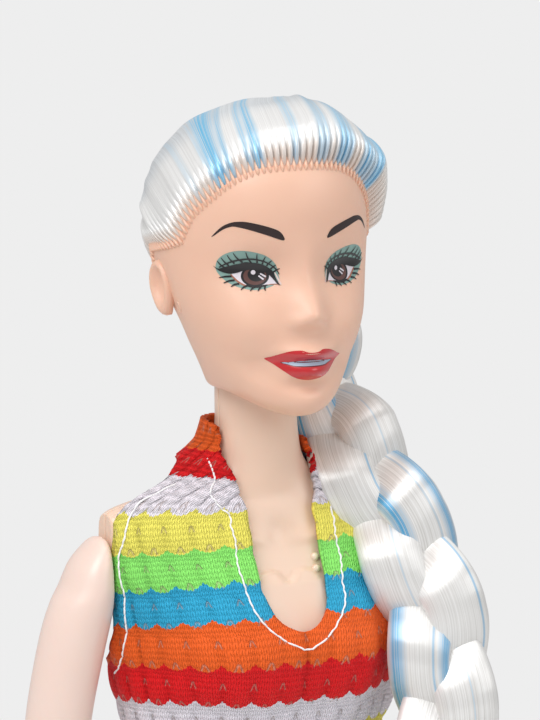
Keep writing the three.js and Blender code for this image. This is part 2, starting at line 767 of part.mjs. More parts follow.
// Foot from heel to toe as shares: way forward, half width, height of its top
const footRowShares = [
  [0.00, 0.40, 0.35],
  [0.06, 0.66, 0.62],
  [0.22, 0.80, 0.95],
  [0.40, 0.84, 0.86],
  [0.62, 1.00, 0.58],
  [0.82, 0.98, 0.44],
  [0.95, 0.76, 0.34],
  [1.00, 0.42, 0.22],
];

// Grown by the same extra on every side, for the foot itself and for the shoe round it
function foot(extra) {
  const rows = [];
  const steps = 8;
  for (let k = 0; k <= steps; k += 1) {
    const [forward, wide, high] = rowAt(footRowShares, k / steps);
    const reach = (forward - 0.5) * (footLength + 2 * extra) + footLength / 2 - footHeel;
    const width = wide * footHalfWidth + extra;
    rows.push(ovalRing(kneeX, footBottomZ, reach, width, footHeight, high * footHeight + extra, 12));
  }
  const geometry = loft(rows);
  geometry.rotateX(Math.PI / 2);
  return solidOf(geometry).intersect(box(-farX, farX, -farX, farX, footBottomZ, footBottomZ + farX));
}

const shin = tongueEnd(limb(shinRows, 10, 6), kneeX, kneeZ, kneeRadius, kneeTongue, 1).add(foot(0));
addPair('lower_leg', shin, torsoColour, 0.4);

// Ankle boots: an upper round the foot on a thick flat sole
function bootForm(extra) {
  const shaft = post(kneeX, 0, footBottomZ, shoeTopZ + overrun, 1.04 * ankleRadius + extra, 14);
  return foot(extra).add(shaft);
}

const bootUpper = bootForm(gap + shoeWall)
  .intersect(box(-farX, farX, -farX, farX, footBottomZ, shoeTopZ))
  .subtract(bootForm(gap));
addPair('boot_upper', bootUpper, whiteColour, 0.5);
const soleShape = new THREE.Shape();
const soleToeY = soleHeel - soleLength;
soleShape.absellipse(kneeX, soleToeY + soleHalfWidth, soleHalfWidth, soleHalfWidth, Math.PI, 2 * Math.PI);
soleShape.absellipse(kneeX, soleHeel - 0.86 * soleHalfWidth, 0.86 * soleHalfWidth, 0.86 * soleHalfWidth, 0, Math.PI);
soleShape.closePath();
const soleGeometry = new THREE.ExtrudeGeometry(soleShape, {
  depth: soleThickness,
  bevelEnabled: false,
  curveSegments: 7,
});
addPair('boot_sole', solidOf(soleGeometry), whiteColour, 0.6);

// Playsuit top: a halter front, a low back and a strap round the nape
const clothOuter = solidOf(grown(torsoGeometry, clothGap + clothThickness));
const clothInner = solidOf(grown(torsoGeometry, clothGap));
const clothShell = clothOuter.subtract(clothInner);

function bothSides(points) {
  const other = points.map(([x, z]) => [-x, z]).reverse();
  return [...points, ...other];
}

const armholeX = shoulderFaceX - armholeInset;

// Edge of the front from the side seam over the armhole to the strap and down the neckline
const frontOutline = bothSides([
  [farX, hipClearZ],
  [farX, armpitZ],
  [0.94 * shoulderHalfWidth, armpitZ + 0.06 * chestDepth],
  [armholeX, armpitZ + 0.45 * chestDepth],
  [armholeX, armpitZ + 1.2 * chestDepth],
  [1.02 * armholeX, strapTopZ - 0.8 * chestDepth],
  [1.6 * neckRadius, strapTopZ],
  [1.04 * neckHalfWidth, strapTopZ],
  [0.96 * neckHalfWidth, strapTopZ - 0.8 * chestDepth],
  [neckHalfWidth, necklineZ + 0.8 * chestDepth],
  [0.84 * neckHalfWidth, necklineZ + 0.34 * chestDepth],
  [0.5 * neckHalfWidth, necklineZ + 0.09 * chestDepth],
  [0.14 * neckHalfWidth, necklineZ],
]);
const backOutline = [
  [-farX, hipClearZ],
  [farX, hipClearZ],
  [farX, armpitZ],
  [0.94 * shoulderHalfWidth, armpitZ],
  [0.7 * shoulderHalfWidth, backEdgeZ],
  [-0.7 * shoulderHalfWidth, backEdgeZ],
  [-0.94 * shoulderHalfWidth, armpitZ],
  [-farX, armpitZ],
];
const nape = box(-2 * neckRadius, 2 * neckRadius, 0, farY, strapTopZ - strapWidth, strapTopZ);
const front = frontPrism(frontOutline, -farY, 0);
const back = frontPrism(backOutline, 0, farY);
const armRoom = box(-shoulderFaceX, shoulderFaceX, -farY, farY, hipClearZ, neckTopZ);
const plugRoom = rod(-farX, farX, 0, shoulderZ, plugFlangeRadius + gap);
const bodice = clothShell.intersect(front.add(back).add(nape))
  .intersect(armRoom)
  .subtract(plugRoom);
add('halter_bodice', bodice, redColour, 0.9);

// Short legs of the playsuit, over the hips and the tops of the thighs
function thighForm(extra) {
  const rows = thighRows.map(([z, x, wide, deep, y]) => [z, x, wide + extra, deep + extra, y]);
  const ball = new THREE.SphereGeometry(thighRadius + extra, 12, 7);
  ball.rotateZ(Math.PI / 2);
  ball.translate(thighX, 0, hipZ);
  return limb(rows, 12, 6).add(solidOf(ball));
}

const hemZ = crotchZ - hemDrop;
const shortsLeg = clothOuter.add(thighForm(clothGap + clothThickness))
  .subtract(clothInner.add(thighForm(clothGap)))
  .intersect(box(gap, shoulderHalfWidth, -farY, farY, hemZ, hipClearZ - gap));
addPair('shorts_leg', shortsLeg, blueColour, 0.9);

// Hook and loop closure on the back panel
const closureInner = grown(torsoGeometry, clothGap + clothThickness + gap);
const closureOuter = grown(torsoGeometry, clothGap + clothThickness + gap + closureThickness);
const closureRoom = box(
  -closureHalfWidth,
  closureHalfWidth,
  0,
  farY,
  hipClearZ + closureHalfWidth,
  backEdgeZ - closureHalfWidth,
);
const closure = solidOf(closureOuter).subtract(solidOf(closureInner)).intersect(closureRoom);
add('back_closure', closure, whiteColour, 0.9);

// Route of the braid from behind the jaw over the shoulder, as shares of the shoulder's half
// width, the head's depth and the chin's height
const braidRouteShares = [
  [0.440, 0.620, 1.020],
  [0.550, 0.320, 1.004],
  [0.590, 0.030, 0.990],
  [0.620, -0.270, 0.972],
  [0.690, -0.530, 0.949],
  [0.760, -0.740, 0.925],
  [0.820, -0.950, 0.892],
  [0.840, -1.070, 0.852],
  [0.835, -1.090, 0.808],
];
const braidRoute = new THREE.CatmullRomCurve3(braidRouteShares.map(([x, y, z]) => (
  new THREE.Vector3(x * shoulderHalfWidth, y * headDepth, z * chinZ)
)));
const braidEnd = braidRoute.getPointAt(1);
const braidLength = braidRoute.getLength();
const braidAcross = new THREE.Vector3(Math.cos(braidYaw), Math.sin(braidYaw), 0);

function strand(number) {
  const steps = 16;
  const sides = 5;
  const rings = [];
  for (let k = 0; k <= steps; k += 1) {
    const share = k / steps;
    const middle = braidRoute.getPointAt(share);
    const along = braidRoute.getTangentAt(share);
    const across = braidAcross.clone().addScaledVector(along, -braidAcross.dot(along)).normalize();
    const deep = new THREE.Vector3().crossVectors(along, across);
    const phase = 2 * Math.PI * ((share * braidLength) / braidPeriod + number / 3);
    const swell = Math.min(1, 0.5 + 2 * share);
    const sway = ((braidWidth - strandWidth) / 2) * swell * Math.sin(phase);
    const weave = ((braidDepth - strandDepth) / 2) * swell * Math.sin(2 * phase);
    middle.addScaledVector(across, sway).addScaledVector(deep, weave);
    const ring = [];
    for (let i = 0; i < sides; i += 1) {
      const angle = (2 * Math.PI * i) / sides;
      ring.push(middle.clone()
        .addScaledVector(across, (strandWidth / 2) * swell * Math.cos(angle))
        .addScaledVector(deep, (strandDepth / 2) * swell * Math.sin(angle)));
    }
    rings.push(ring);
  }
  return solidOf(loft(rings));
}

const clearHair = solidOf(grown(hairBase, (place) => hairRise(place) + gap));
const clearCloth = solidOf(grown(torsoGeometry, clothGap + clothThickness + gap));
const braid = strand(0).add(strand(1)).add(strand(2)).subtract(clearHair).subtract(clearCloth);
add('braid', braid, hairColour, 0.3);

// Band round the end of the braid and the loose hair under it
const bandTop = braidEnd.z - gap;
const tailTop = bandTop - braidBandHeight - gap;
const bandRing = new THREE.LatheGeometry([
  new THREE.Vector2(0, -braidBandHeight / 2),
  new THREE.Vector2(braidBandRadius * 0.8, -braidBandHeight / 2),
  new THREE.Vector2(braidBandRadius, 0),
  new THREE.Vector2(braidBandRadius * 0.8, braidBandHeight / 2),
  new THREE.Vector2(0, braidBandHeight / 2),
], 16);
bandRing.rotateX(Math.PI / 2);
bandRing.translate(braidEnd.x, braidEnd.y, bandTop - braidBandHeight / 2);
add('braid_band', solidOf(bandRing), blueColour, 0.5);
const tailRowShares = [[1, 0.15], [0.55, 0.8], [0, 0.6]];
const tail = loft(tailRowShares.map(([down, wide]) => ovalRing(
  braidEnd.x,
  braidEnd.y,
  tailTop - down * braidTailLength,
  wide * braidBandRadius,
  wide * braidBandRadius,
  wide * braidBandRadius,
  12,
)));
add('braid_tail', solidOf(tail), hairColour, 0.3);

// The doll stands on its soles, centred on the middle of its bounding box
const bounds = new THREE.Box3().setFromObject(group);
const middle = bounds.getCenter(new THREE.Vector3());
group.position.set(-middle.x, -middle.y, -bounds.min.z);

export default group;
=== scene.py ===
import json
import math

import bpy
import bmesh
import numpy as np
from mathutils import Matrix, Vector, geometry
from mathutils.bvhtree import BVHTree


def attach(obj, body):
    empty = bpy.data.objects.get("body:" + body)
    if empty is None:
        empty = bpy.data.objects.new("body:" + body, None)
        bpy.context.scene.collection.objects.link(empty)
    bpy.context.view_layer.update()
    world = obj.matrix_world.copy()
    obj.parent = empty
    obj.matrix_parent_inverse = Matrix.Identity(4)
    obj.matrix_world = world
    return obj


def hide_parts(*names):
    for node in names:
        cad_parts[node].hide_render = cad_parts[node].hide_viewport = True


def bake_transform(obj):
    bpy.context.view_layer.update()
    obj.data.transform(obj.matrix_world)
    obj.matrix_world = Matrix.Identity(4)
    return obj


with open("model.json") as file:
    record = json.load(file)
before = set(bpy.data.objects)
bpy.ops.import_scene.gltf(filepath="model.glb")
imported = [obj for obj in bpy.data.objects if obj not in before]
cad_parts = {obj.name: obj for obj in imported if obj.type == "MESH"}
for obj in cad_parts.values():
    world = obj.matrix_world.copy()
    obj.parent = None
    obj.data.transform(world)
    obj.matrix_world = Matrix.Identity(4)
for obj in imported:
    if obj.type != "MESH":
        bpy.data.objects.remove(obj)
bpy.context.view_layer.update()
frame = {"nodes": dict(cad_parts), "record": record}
scene = bpy.context.scene

# Camera and studio
# A long lens at the height of the doll's face, a little to its right, in front of a plain
# pale sweep under soft lamps.
MM = 0.001
NECK_Y = frame["record"]["behaviour"]["joints"][0]["pos_m"][1]
CAMERA_AZIMUTH = math.radians(-26)
CAMERA_ELEVATION = math.radians(8)
CAMERA_DISTANCE = 0.7
CAMERA_AIM_RIGHT = 1.8 * MM
CAMERA_AIM_Z = 258.6 * MM
LENS = 276.6

backwards = Vector((
    math.sin(CAMERA_AZIMUTH) * math.cos(CAMERA_ELEVATION),
    -math.cos(CAMERA_AZIMUTH) * math.cos(CAMERA_ELEVATION),
    math.sin(CAMERA_ELEVATION),
))
camera_right = Vector((math.cos(CAMERA_AZIMUTH), math.sin(CAMERA_AZIMUTH), 0))
camera_aim = Vector((0, NECK_Y, CAMERA_AIM_Z)) + camera_right * CAMERA_AIM_RIGHT
camera_data = bpy.data.cameras.new("camera")
camera_data.lens = LENS
camera_data.clip_start = 0.01
camera = bpy.data.objects.new("camera", camera_data)
camera.location = camera_aim + backwards * CAMERA_DISTANCE
camera.rotation_euler = backwards.to_track_quat("Z", "Y").to_euler()
scene.collection.objects.link(camera)
scene.camera = camera
scene.view_settings.view_transform = "Standard"

BACKDROP = (0.855, 0.855, 0.855, 1)
ROOM_STRENGTH = 0.50
world = bpy.data.worlds.new("studio")
world.use_nodes = True
scene.world = world
nodes = world.node_tree.nodes
links = world.node_tree.links
room_light = nodes["Background"]
room_light.inputs["Color"].default_value = (1, 1, 1, 1)
room_light.inputs["Strength"].default_value = ROOM_STRENGTH
room_seen = nodes.new("ShaderNodeBackground")
room_seen.inputs["Color"].default_value = BACKDROP
light_path = nodes.new("ShaderNodeLightPath")
seen_or_lit = nodes.new("ShaderNodeMixShader")
links.new(light_path.outputs["Is Camera Ray"], seen_or_lit.inputs["Fac"])
links.new(room_light.outputs["Background"], seen_or_lit.inputs[1])
links.new(room_seen.outputs["Background"], seen_or_lit.inputs[2])
links.new(seen_or_lit.outputs["Shader"], nodes["World Output"].inputs["Surface"])

# Name, azimuth and elevation in degrees, distance and size in metres, power in watts
LAMPS = [
    ("lamp_key", -62, 46, 0.9, 0.55, 5.0),
    ("lamp_fill", 38, 26, 1.0, 0.6, 1.9),
    ("lamp_top", 8, 82, 0.9, 0.6, 2.3),
]
for lamp_name, azimuth, elevation, distance, size, power in LAMPS:
    lamp_data = bpy.data.lights.new(lamp_name, "AREA")
    lamp_data.shape = "SQUARE"
    lamp_data.size = size
    lamp_data.energy = power
    lamp = bpy.data.objects.new(lamp_name, lamp_data)
    a = math.radians(azimuth)
    e = math.radians(elevation)
    towards = Vector((math.sin(a) * math.cos(e), -math.cos(a) * math.cos(e), math.sin(e)))
    lamp.location = camera_aim + towards * distance
    lamp.rotation_euler = towards.to_track_quat("Z", "Y").to_euler()
    scene.collection.objects.link(lamp)

class Finish:
    """Material with constants on its shader, and the patterns that feed it."""

    def __init__(self, name, constants):
        self.material = bpy.data.materials.new(name)
        self.material.use_nodes = True
        self.nodes = self.material.node_tree.nodes
        self.links = self.material.node_tree.links
        self.shader = self.nodes["Principled BSDF"]
        self.feed(self.shader, constants)

    def feed(self, node, feeds):
        """Feeds sockets of a node, each by a value or by another node's output."""
        for socket, value in feeds.items():
            if isinstance(value, bpy.types.NodeSocket):
                self.links.new(value, node.inputs[socket])
            else:
                node.inputs[socket].default_value = value
        return node

    def own_place(self):
        """Place in the piece's own coordinates."""
        return self.nodes.new("ShaderNodeTexCoord").outputs["Object"]

    def flat_place(self):
        """Place in the piece's UV map, whole and as its two ways."""
        flat = self.nodes.new("ShaderNodeUVMap")
        flat.uv_map = "UVMap"
        split = self.feed(self.nodes.new("ShaderNodeSeparateXYZ"), {"Vector": flat.outputs["UV"]})
        return flat.outputs["UV"], split.outputs["X"], split.outputs["Y"]

    def stretched(self, spot, scale):
        """Place stretched by a scale each way."""
        node = self.feed(self.nodes.new("ShaderNodeMapping"), {"Scale": scale, "Vector": spot})
        return node.outputs["Vector"]

    def noise(self, scale, spot=None, **more):
        """Noise pattern; without a place it lies over the piece's whole box."""
        feeds = {"Scale": scale, **more}
        if spot is not None:
            feeds["Vector"] = spot
        return self.feed(self.nodes.new("ShaderNodeTexNoise"), feeds).outputs["Fac"]

    def maths(self, operation, *values):
        """Result of one operation on values or outputs."""
        node = self.nodes.new("ShaderNodeMath")
        node.operation = operation
        return self.feed(node, dict(enumerate(values))).outputs["Value"]

    def between(self, value, low, high, top=1.0):
        """Value mapped from low to high on to nought to top, and held there."""
        node = self.nodes.new("ShaderNodeMapRange")
        self.feed(node, {"Value": value, "From Min": low, "From Max": high, "To Max": top})
        return node.outputs["Result"]

    def mix(self, share, first, second, blend="MIX"):
        """Colour between two by a share."""
        node = self.nodes.new("ShaderNodeMix")
        node.data_type = "RGBA"
        node.blend_type = blend
        return self.feed(node, {0: share, 6: first, 7: second}).outputs[2]

    def ramp(self, share, stops, interpolation="LINEAR"):
        """Colour by a share, from stops of place and colour."""
        node = self.feed(self.nodes.new("ShaderNodeValToRGB"), {"Fac": share})
        elements = node.color_ramp.elements
        node.color_ramp.interpolation = interpolation
        while len(elements) < len(stops):
            elements.new(0.5)
        for element, (position, tone) in zip(elements, stops):
            element.position = position
            element.color = (*tone, 1)
        return node.outputs["Color"]

    def colour(self, value):
        """Feeds the shader's colour."""
        self.feed(self.shader, {"Base Color": value})

    def relief(self, height, strength, distance):
        """Feeds the shader's normal with a height; its distance is in millimetres."""
        node = self.nodes.new("ShaderNodeBump")
        self.feed(node, {"Height": height, "Strength": strength, "Distance": distance * MM})
        self.feed(self.shader, {"Normal": node.outputs["Normal"]})


FLOOR_RADIUS = 0.9
FLOOR_SIDES = 96
floor_turns = [2 * math.pi * k / FLOOR_SIDES for k in range(FLOOR_SIDES)]
floor_points = [(FLOOR_RADIUS * math.cos(a), FLOOR_RADIUS * math.sin(a), 0) for a in floor_turns]
floor_mesh = bpy.data.meshes.new("studio_floor")
floor_mesh.from_pydata(floor_points, [], [list(range(FLOOR_SIDES))])
floor = bpy.data.objects.new("studio_floor", floor_mesh)
scene.collection.objects.link(floor)
floor_paper = Finish("floor_paper", {"Base Color": BACKDROP, "Roughness": 0.9})
floor_mesh.materials.append(floor_paper.material)

# Head
# One soft vinyl moulding, cast hollow and pulled over the knob of the neck post. Its skin is
# a stack of tilted rings from under the chin to the crown, with the relief of the face on it.
CHIN_Z = 253.5
HEAD_HEIGHT = 36.8
HEAD_HALF_WIDTH = 13.6
HEAD_DEPTH = 15.4
HEAD_RING_POINTS = 200
HEAD_RINGS = 190
# Shares of the head's height, depth and half width: front height, front depth, half width,
# side depth, side height, back depth, back height
HEAD_ROW_SHARES = np.array([
    (0.080, -0.450, 0.452, -0.010, 0.100, 0.430, 0.155),
    (0.022, -0.680, 0.512, -0.150, 0.070, 0.450, 0.155),
    (-0.008, -0.810, 0.552, -0.235, 0.078, 0.460, 0.162),
    (0.012, -0.930, 0.602, -0.285, 0.110, 0.474, 0.185),
    (0.066, -0.972, 0.665, -0.304, 0.158, 0.494, 0.217),
    (0.134, -0.950, 0.735, -0.294, 0.214, 0.519, 0.261),
    (0.207, -0.958, 0.808, -0.286, 0.277, 0.558, 0.315),
    (0.288, -0.958, 0.880, -0.247, 0.346, 0.640, 0.375),
    (0.380, -0.942, 0.936, -0.169, 0.418, 0.750, 0.440),
    (0.489, -0.920, 0.982, -0.097, 0.505, 0.860, 0.516),
    (0.598, -0.948, 1.000, -0.052, 0.603, 0.925, 0.609),
    (0.707, -0.965, 0.980, -0.030, 0.707, 0.935, 0.707),
    (0.802, -0.920, 0.915, -0.030, 0.802, 0.870, 0.802),
    (0.880, -0.800, 0.785, -0.030, 0.880, 0.720, 0.880),
    (0.950, -0.600, 0.565, -0.040, 0.950, 0.490, 0.950),
    (0.992, -0.310, 0.260, -0.050, 0.992, 0.200, 0.992),
])
# Side place, height, side reach, height reach and how far it stands out, in millimetres
FACE_RELIEF = [
    (0, 16.2, 2.1, 4.0, 0.75),
    (0, 13.3, 2.2, 2.1, 1.5),
    (0, 12.2, 1.8, 1.3, 1.0),
    (1.8, 11.8, 0.95, 0.95, 0.65),
    (6.0, 18.0, 3.6, 2.6, -1.55),
    (7.9, 11.0, 3.5, 3.5, 0.9),
    (0, 7.0, 4.6, 3.1, 0.9),
    (5.4, 6.2, 2.2, 2.8, -0.8),
    (0, 1.7, 2.9, 1.8, 0.6),
    (0, 8.05, 3.3, 0.85, 0.95),
    (0, 6.95, 3.6, 0.42, -0.5),
    (0, 5.6, 2.6, 1.0, 1.1),
    (0, 3.8, 2.6, 1.0, -0.75),
]


def full_turn(count):
    """Angles spaced evenly once round."""
    return np.linspace(0, 2 * np.pi, count, endpoint=False)


def run_along(points):
    """Way travelled along points, up to each of them."""
    return np.concatenate([[0], np.cumsum(np.linalg.norm(np.diff(points, axis=0), axis=1))])


def crossed(first, second):
    """Grid of two rows of values, the first one along its first way."""
    return np.meshgrid(first, second, indexing="ij")


def row_at(rows, share):
    """Smooth row of a table at a share of the way through it."""
    place = np.clip(share, 0, 1) * (len(rows) - 1)
    k = np.minimum(place.astype(int), len(rows) - 2)
    f = (place - k)[..., None]
    before = rows[np.maximum(k - 1, 0)]
    start = rows[k]
    stop = rows[k + 1]
    after = rows[np.minimum(k + 2, len(rows) - 1)]
    slope_start = (stop - before) / 2
    slope_stop = (after - start) / 2
    rise = stop - start
    return (start + slope_start * f + (3 * rise - 2 * slope_start - slope_stop) * f ** 2
            + (slope_start + slope_stop - 2 * rise) * f ** 3)


def head_points(share, angle, relief=True):
    """Points of the head's skin in part millimetres, at a share of its rows and an angle."""
    row = row_at(HEAD_ROW_SHARES, share)
    front_z, front_y, wide, side_y, side_z, back_y, back_z = np.moveaxis(row, -1, 0)
    c = np.cos(angle)
    reach = np.where(c > 0, front_y, back_y)
    level = np.where(c > 0, front_z, back_z)
    x = HEAD_HALF_WIDTH * wide * np.sin(angle)
    y = HEAD_DEPTH * (side_y + (reach - side_y) * np.abs(c))
    z = CHIN_Z + HEAD_HEIGHT * (side_z + (level - side_z) * c ** 2)
    if relief:
        push = np.zeros_like(x)
        for place, height, side_reach, height_reach, out in FACE_RELIEF:
            across = (np.abs(x) - place) / side_reach
            up = (z - CHIN_Z - height) / height_reach
            push += out * np.exp(-across ** 2 - up ** 2)
        y = y - push * np.sqrt(np.clip(c, 0, 1))
    return np.stack([x, y, z], axis=-1)


def place(points):
    """Part millimetres to metres in the frame."""
    return np.asarray(points, dtype=float) * MM + np.array([0, NECK_Y, 0])


def new_piece(name, points, faces):
    """Smooth mesh as a new piece of the scene."""
    mesh = bpy.data.meshes.new(name)
    mesh.from_pydata([tuple(p) for p in points], [], faces)
    mesh.shade_smooth()
    piece = bpy.data.objects.new(name, mesh)
    scene.collection.objects.link(piece)
    return piece


def ring_mesh(name, rings, uv=None, closed_ends=True):
    """Piece over rings of points, closed round each ring and with a fan at both ends."""
    count, sides = rings.shape[:2]
    points = list(rings.reshape(-1, 3))
    faces = []
    for r in range(count - 1):
        for i in range(sides):
            j = (i + 1) % sides
            faces.append((r * sides + i, r * sides + j, (r + 1) * sides + j, (r + 1) * sides + i))
    if closed_ends:
        for ring, turned in ((0, True), (count - 1, False)):
            points.append(rings[ring].mean(axis=0))
            for i in range(sides):
                a = ring * sides + i
                b = ring * sides + (i + 1) % sides
                faces.append((b, a, len(points) - 1) if turned else (a, b, len(points) - 1))
    piece = new_piece(name, points, faces)
    if uv is not None:
        mesh = piece.data
        layer = mesh.uv_layers.new(name="UVMap")
        flat = uv.reshape(-1, 2)
        for face in mesh.polygons:
            wraps = [li for li in face.loop_indices if mesh.loops[li].vertex_index < len(flat)]
            columns = [mesh.loops[li].vertex_index % sides for li in wraps]
            for li, column in zip(wraps, columns):
                u, v = flat[mesh.loops[li].vertex_index]
                if column == 0 and sides - 1 in columns:
                    u = u + uv[0, -1, 0] + uv[0, 1, 0] - 2 * uv[0, 0, 0]
                layer.data[li].uv = (u, v)
    return piece


# The rings' points crowd towards the face, where the relief is
FACE_CROWDING = 0.35
turn = full_turn(HEAD_RING_POINTS)
turn = turn - FACE_CROWDING * np.sin(turn)
head_share, head_turn = crossed(np.linspace(0, 1, HEAD_RINGS), turn)
head = ring_mesh("head_skin", place(head_points(head_share, head_turn)))
head_tree = BVHTree.FromPolygons(
    [v.co.copy() for v in head.data.vertices],
    [tuple(f.vertices) for f in head.data.polygons],
)
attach(head, "head")
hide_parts("head_shell")

# The vinyl is dyed through, with a faint mottle and a satin skin.
FACE_VINYL = (0.830, 0.520, 0.385, 1)
FACE_VINYL_WARM = (0.74, 0.33, 0.20, 1)
skin = Finish("face_vinyl", {
    "Roughness": 0.42, "Subsurface Weight": 0.12, "Subsurface Radius": (1.0, 0.35, 0.2),
    "Subsurface Scale": 1.2 * MM, "Coat Weight": 0.12, "Coat Roughness": 0.25,
})
where = skin.own_place()
mottle = skin.between(skin.noise(160, where, Detail=3), 0.35, 0.8, 0.12)
skin.colour(skin.mix(mottle, FACE_VINYL, FACE_VINYL_WARM))
skin.relief(skin.noise(2600, where), 0.05, 0.05)
vinyl = skin.material
head.data.materials.append(vinyl)

# Ears
# Moulded with the head in the same vinyl: a rim round a shallow scoop. The earring hole is
# pierced where the lobe meets the cheek.
EAR_X = 12.55
EAR_Y = 0.5
EAR_Z = 268.6
EAR_HALF_DEPTH = 2.0
EAR_HALF_HEIGHT = 3.4
EAR_TILT = math.radians(9)
# Share of the outline and height over the head, from the root over the rim into the scoop
EAR_PROFILE = [(1.04, -1.0), (1.06, 0.1), (1.02, 0.85), (0.93, 1.35), (0.82, 1.5), (0.72, 1.35),
               (0.60, 0.85), (0.44, 0.45), (0.26, 0.3), (0.1, 0.25)]
EAR_SIDES = 48
EAR_TAPER = 0.22
EAR_TUCK = 0.10
ear_turn = full_turn(EAR_SIDES)
for side, side_name in ((-1, "right"), (1, "left")):
    rings = []
    for share, height in EAR_PROFILE:
        lobe = 1 - EAR_TAPER * np.clip(-np.sin(ear_turn), 0, 1)
        inward = (1 - share) * 0.5
        y = EAR_HALF_DEPTH * share * lobe * np.cos(ear_turn) - 0.5 * inward
        z = EAR_HALF_HEIGHT * share * np.sin(ear_turn) + 0.8 * inward
        # The rim stands out most above and behind
        lifted = np.clip(np.cos(ear_turn) * 0.7 + np.sin(ear_turn) * 0.5, -1, 1)
        stand = height * (0.8 + 0.35 * lifted)
        ring_y = EAR_Y + y * math.cos(EAR_TILT) + z * math.sin(EAR_TILT)
        ring_z = EAR_Z - y * math.sin(EAR_TILT) + z * math.cos(EAR_TILT)
        ring_x = side * (EAR_X + stand - EAR_TUCK * (y + EAR_HALF_DEPTH))
        rings.append(np.stack([ring_x, ring_y, ring_z], axis=-1))
    rings = np.array(rings if side > 0 else [ring[::-1] for ring in rings])
    ear = ring_mesh(f"ear_{side_name}", place(rings))
    ear.data.materials.append(vinyl)
    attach(ear, "head")

# The earring hole lies where the lobe meets the cheek: a raised rim round a pit whose dark colour is
# painted shade
# The pit's dark colour is painted shade, standing for the shade inside the hole
hole_painted_shade = Finish("earring_pit_painted_shade", {"Base Color": (0.24, 0.06, 0.025, 1), "Roughness": 0.5})
hole_painted_shade.relief(hole_painted_shade.noise(3000), 0.3, 0.05)
HOLE_Y = -2.75
HOLE_Z = 266.4
HOLE_HALF_WIDTH = 0.42
HOLE_HALF_HEIGHT = 0.62
# Share of the hole's outline and height over the cheek
HOLE_RIM = [(1.30, -0.15), (1.22, 0.10), (1.0, 0.16), (0.86, 0.05)]
HOLE_PIT = [(0.92, -0.10), (0.80, 0.035), (0.02, 0.03)]
hole_turn = full_turn(24)
for side, side_name in ((-1, "right"), (1, "left")):
    start = Vector(place([side * 30, HOLE_Y, HOLE_Z]))
    spot, facing, _, _ = head_tree.ray_cast(start, Vector((-side, 0, 0)))
    level_way = facing.cross(Vector((0, 0, 1))).normalized()
    upright = level_way.cross(facing).normalized()
    for part, profile, coat in (("rim", HOLE_RIM, vinyl), ("pit", HOLE_PIT, hole_painted_shade.material)):
        rings = [[spot + level_way * (math.cos(a) * HOLE_HALF_WIDTH * share * MM)
                  + upright * (math.sin(a) * HOLE_HALF_HEIGHT * share * MM)
                  + facing * (rise * MM) for a in hole_turn] for share, rise in profile]
        piece = ring_mesh(f"earring_{part}_{side_name}", np.array(rings))
        piece.data.materials.append(coat)
        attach(piece, "head")

# Face paint
# Printed on the vinyl in thin coats, one over the other: shadow, whites, irises, liner,
# lashes, brows and lips. Outlines are drawn by picture points on the doll's right side and
# repeated on its left. A coat follows the skin a few hundredths of a millimetre above it.
PICTURE_WIDTH = 540
PICTURE_HEIGHT = 720
SENSOR_WIDTH = 36


def picture_point(column, row):
    """Place on the head, in the frame, that a point of the picture shows."""
    scale = SENSOR_WIDTH / LENS / PICTURE_HEIGHT
    camera_up = backwards.cross(camera_right)
    ray = (-backwards + camera_right * ((column - PICTURE_WIDTH / 2) * scale)
           - camera_up * ((row - PICTURE_HEIGHT / 2) * scale))
    return head_tree.ray_cast(camera.location, ray.normalized())[0]


def picture_spot(column, row):
    """Face place (side, height) in millimetres that a point of the picture shows."""
    hit = picture_point(column, row)
    return hit.x / MM, hit.z / MM


def curve_point(a, b, c, d, t):
    """Point at a share of the way from b to c, on the smooth curve through all four."""
    return 0.5 * (2 * b + (c - a) * t + (2 * a - 5 * b + 4 * c - d) * t * t
                  + (3 * b - a - 3 * c + d) * t ** 3)


def smooth_outline(points, steps=5):
    """Closed curve through the points."""
    curve = []
    count = len(points)
    for k in range(count):
        near = [np.array(points[(k + n) % count], dtype=float) for n in (-1, 0, 1, 2)]
        curve += [tuple(curve_point(*near, s / steps)) for s in range(steps)]
    return curve


def stroke_outline(points, widths, steps=6):
    """Outline of a brush stroke along the points, with its width at each point."""
    points = [np.array(p, dtype=float) for p in points]
    last = len(points) - 1
    line = []
    for k in range(last):
        near = [points[min(max(k + n, 0), last)] for n in (-1, 0, 1, 2)]
        for s in range(steps + (k == last - 1)):
            t = s / steps
            line.append((curve_point(*near, t), widths[k] + (widths[k + 1] - widths[k]) * t))
    left = []
    right = []
    for k, (spot, width) in enumerate(line):
        along = line[min(k + 1, len(line) - 1)][0] - line[max(k - 1, 0)][0]
        along = along / max(np.hypot(*along), 1e-9)
        across = np.array([-along[1], along[0]]) * width / 2
        left.append(tuple(spot + across))
        right.append(tuple(spot - across))
    return left + right[::-1]


def inside_outline(spots, outline):
    """Whether each spot lies inside the closed outline."""
    x, y = spots[:, 0], spots[:, 1]
    inside = np.zeros(len(spots), dtype=bool)
    ax, ay = outline[-1]
    for bx, by in outline:
        crosses = (ay > y) != (by > y)
        with np.errstate(divide="ignore", invalid="ignore"):
            inside ^= crosses & (x < (bx - ax) * (y - ay) / (by - ay) + ax)
        ax, ay = bx, by
    return inside


def filled(outline, inner):
    """Points and faces, all turned one way, of a flat outline filled over inner points."""
    spots = [Vector(p) for p in outline] + [Vector(p) for p in inner]
    edges = [(k, (k + 1) % len(outline)) for k in range(len(outline))]
    flat, _, cells, _, _, _ = geometry.delaunay_2d_cdt(spots, edges, [], 1, 1e-6)
    flat = np.array([(p.x, p.y) for p in flat])
    faces = []
    for cell in cells:
        a, b, c = (flat[k] for k in cell[:3])
        turned = (b[0] - a[0]) * (c[1] - a[1]) - (b[1] - a[1]) * (c[0] - a[0]) < 0
        faces.append(cell[::-1] if turned else cell)
    return flat, faces


FACE_FAR_Y = -0.06


